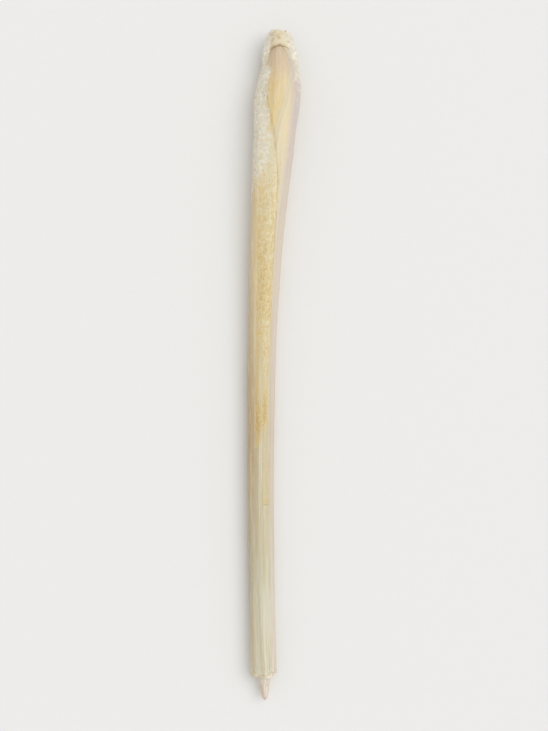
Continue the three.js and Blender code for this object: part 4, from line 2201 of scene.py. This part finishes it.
@dataclass
class Studio:
    """A pale floor, soft lights and a camera that looks straight down at the stalk."""

    floor_size: float = 60.0
    lens: float = 85.0
    sensor: float = 36.0
    nearest: float = 0.01
    margin: float = 1.075
    sun_from: tuple[float, float, float] = (0.46, 0.2, 0.87)
    sun_strength: float = 1.15
    sun_softness: float = 50.0
    sky: float = 0.7

    def build(self) -> None:
        """Makes the floor, the light, the sky and the camera."""
        self.floor()
        self.light()
        world = bpy.data.worlds.new("studio")
        world.use_nodes = True
        background = world.node_tree.nodes["Background"]
        background.inputs["Color"].default_value = (1.0, 1.0, 1.0, 1.0)
        background.inputs["Strength"].default_value = self.sky
        bpy.context.scene.world = world
        bpy.context.scene.view_settings.view_transform = "Standard"
        self.camera()

    def floor(self) -> None:
        """Lays the floor."""
        half = self.floor_size / 2.0
        corners = np.array([(-half, -half, 0.0), (half, -half, 0.0), (half, half, 0.0), (-half, half, 0.0)])
        floor = Surface(corners, [np.array([[0, 1, 2, 3]])]).as_object("floor")
        floor.data.materials.append(PAPER.material())

    def light(self) -> None:
        """Hangs one wide, soft light that reaches the whole floor alike."""
        light = bpy.data.lights.new("soft_light", "SUN")
        light.energy, light.angle = self.sun_strength, math.radians(self.sun_softness)
        lamp = new_object("soft_light", light)
        lamp.rotation_euler = (-Vector(self.sun_from)).to_track_quat("-Z", "Y").to_euler()

    def camera(self) -> None:
        """Sets the camera over the middle of the stalk, with its root end at the top of the view."""
        low, high = CAD_BOX
        view = bpy.data.cameras.new("camera")
        view.lens, view.sensor_width, view.clip_start = self.lens, self.sensor, self.nearest
        half_angle = math.atan(self.sensor / 2.0 / self.lens)
        distance = (high.y - low.y) / 2.0 * self.margin / math.tan(half_angle)
        camera = new_object("camera", view)
        camera.location = ((low.x + high.x) / 2.0, (low.y + high.y) / 2.0, high.z + distance)
        bpy.context.scene.camera = camera


# ---------------------------------------- main


def main() -> None:
    """Builds the stalk from the root end to the tip, then the frost on it and the studio round it."""
    logging.basicConfig(level=logging.INFO, format="%(name)s: %(message)s")
    form, pattern = StalkForm(), FrostPattern()
    leaf_cut = CutFinish("leaf_cut").material()
    outer_skin = Skin(LeafFinish("outer_sheath_skin", OUTER_TONES).material(), leaf_cut)
    second_skin = Skin(LeafFinish("second_sheath_skin", SECOND_TONES, offset=11.0).material(), leaf_cut)
    shoot_finish = LeafFinish(
        "shoot_skin",
        SHOOT_TONES,
        stain=rgb(222, 172, 116),
        stain_width=0.75,
        stain_fade=0.0,
        frost_strength=0.6,
    )
    culm_cut = CutFinish(
        "culm_cut", body=rgb(232, 222, 192), pore=rgb(190, 166, 120), pore_scale=2100.0
    ).material()
    culm_skin = Skin(CulmFinish("culm_skin").material(), culm_cut)
    root_skin = CulmFinish("root_skin", cream=rgb(222, 204, 170), tan=rgb(196, 166, 122)).material()
    ice = ICE.material()

    culm, roots = StemBase(form, pattern).build(culm_skin, root_skin)
    dress(culm, Node.STEM_BASE)
    add_to(roots)

    outer = OuterSheath(
        form,
        pattern,
        start=form.outer_start,
        end=form.outer_end,
        veins=60,
        wall_knots=((5.5, 0.55), (16, 0.85), (60, 0.9), (192, 0.95)),
        points_per_vein=4,
        crust_height=0.3,
        seed=40,
    )
    outer_piece = outer.build("outer_leaf_sheath", outer_skin)
    dress(outer_piece, Node.OUTER_SHEATH)
    second = SecondSheath(
        form,
        pattern,
        start=5.6,
        end=192.7,
        veins=44,
        wall_knots=((5.6, 0.6), (16, 0.9), (60, 0.85), (192, 0.85)),
        outer=outer,
        crust_height=0.15,
        seed=50,
    )
    second_piece = second.build("second_leaf_sheath", second_skin)
    dress(second_piece, Node.SECOND_SHEATH)
    for piece in Shoot(form, pattern, second).build(Skin(shoot_finish.material(), leaf_cut)):
        dress(piece, Node.INNER_SHOOT)

    add_to(FrayedFibres(outer).build("outer_cut_fibres", leaf_cut))
    frayed = FrayedFibres(second, count=80, length=0.6, seed=13)
    add_to(frayed.build("second_cut_fibres", leaf_cut))
    clumps = FrostCrystals(grains_per_square_mm=4.5, smallest=0.08, largest=0.17, threshold=0.45, seed=8)
    grains = FrostCrystals()
    add_to(clumps.build(outer_piece, "frost_clumps_on_outer_sheath", ice))
    add_to(clumps.build(culm, "frost_clumps_on_culm", ice))
    add_to(grains.build(outer_piece, "frost_on_outer_sheath", ice))
    add_to(grains.build(second_piece, "frost_on_second_sheath", ice))
    add_to(grains.build(culm, "frost_on_culm", ice))
    Studio().build()


if __name__ == "__main__":
    main()
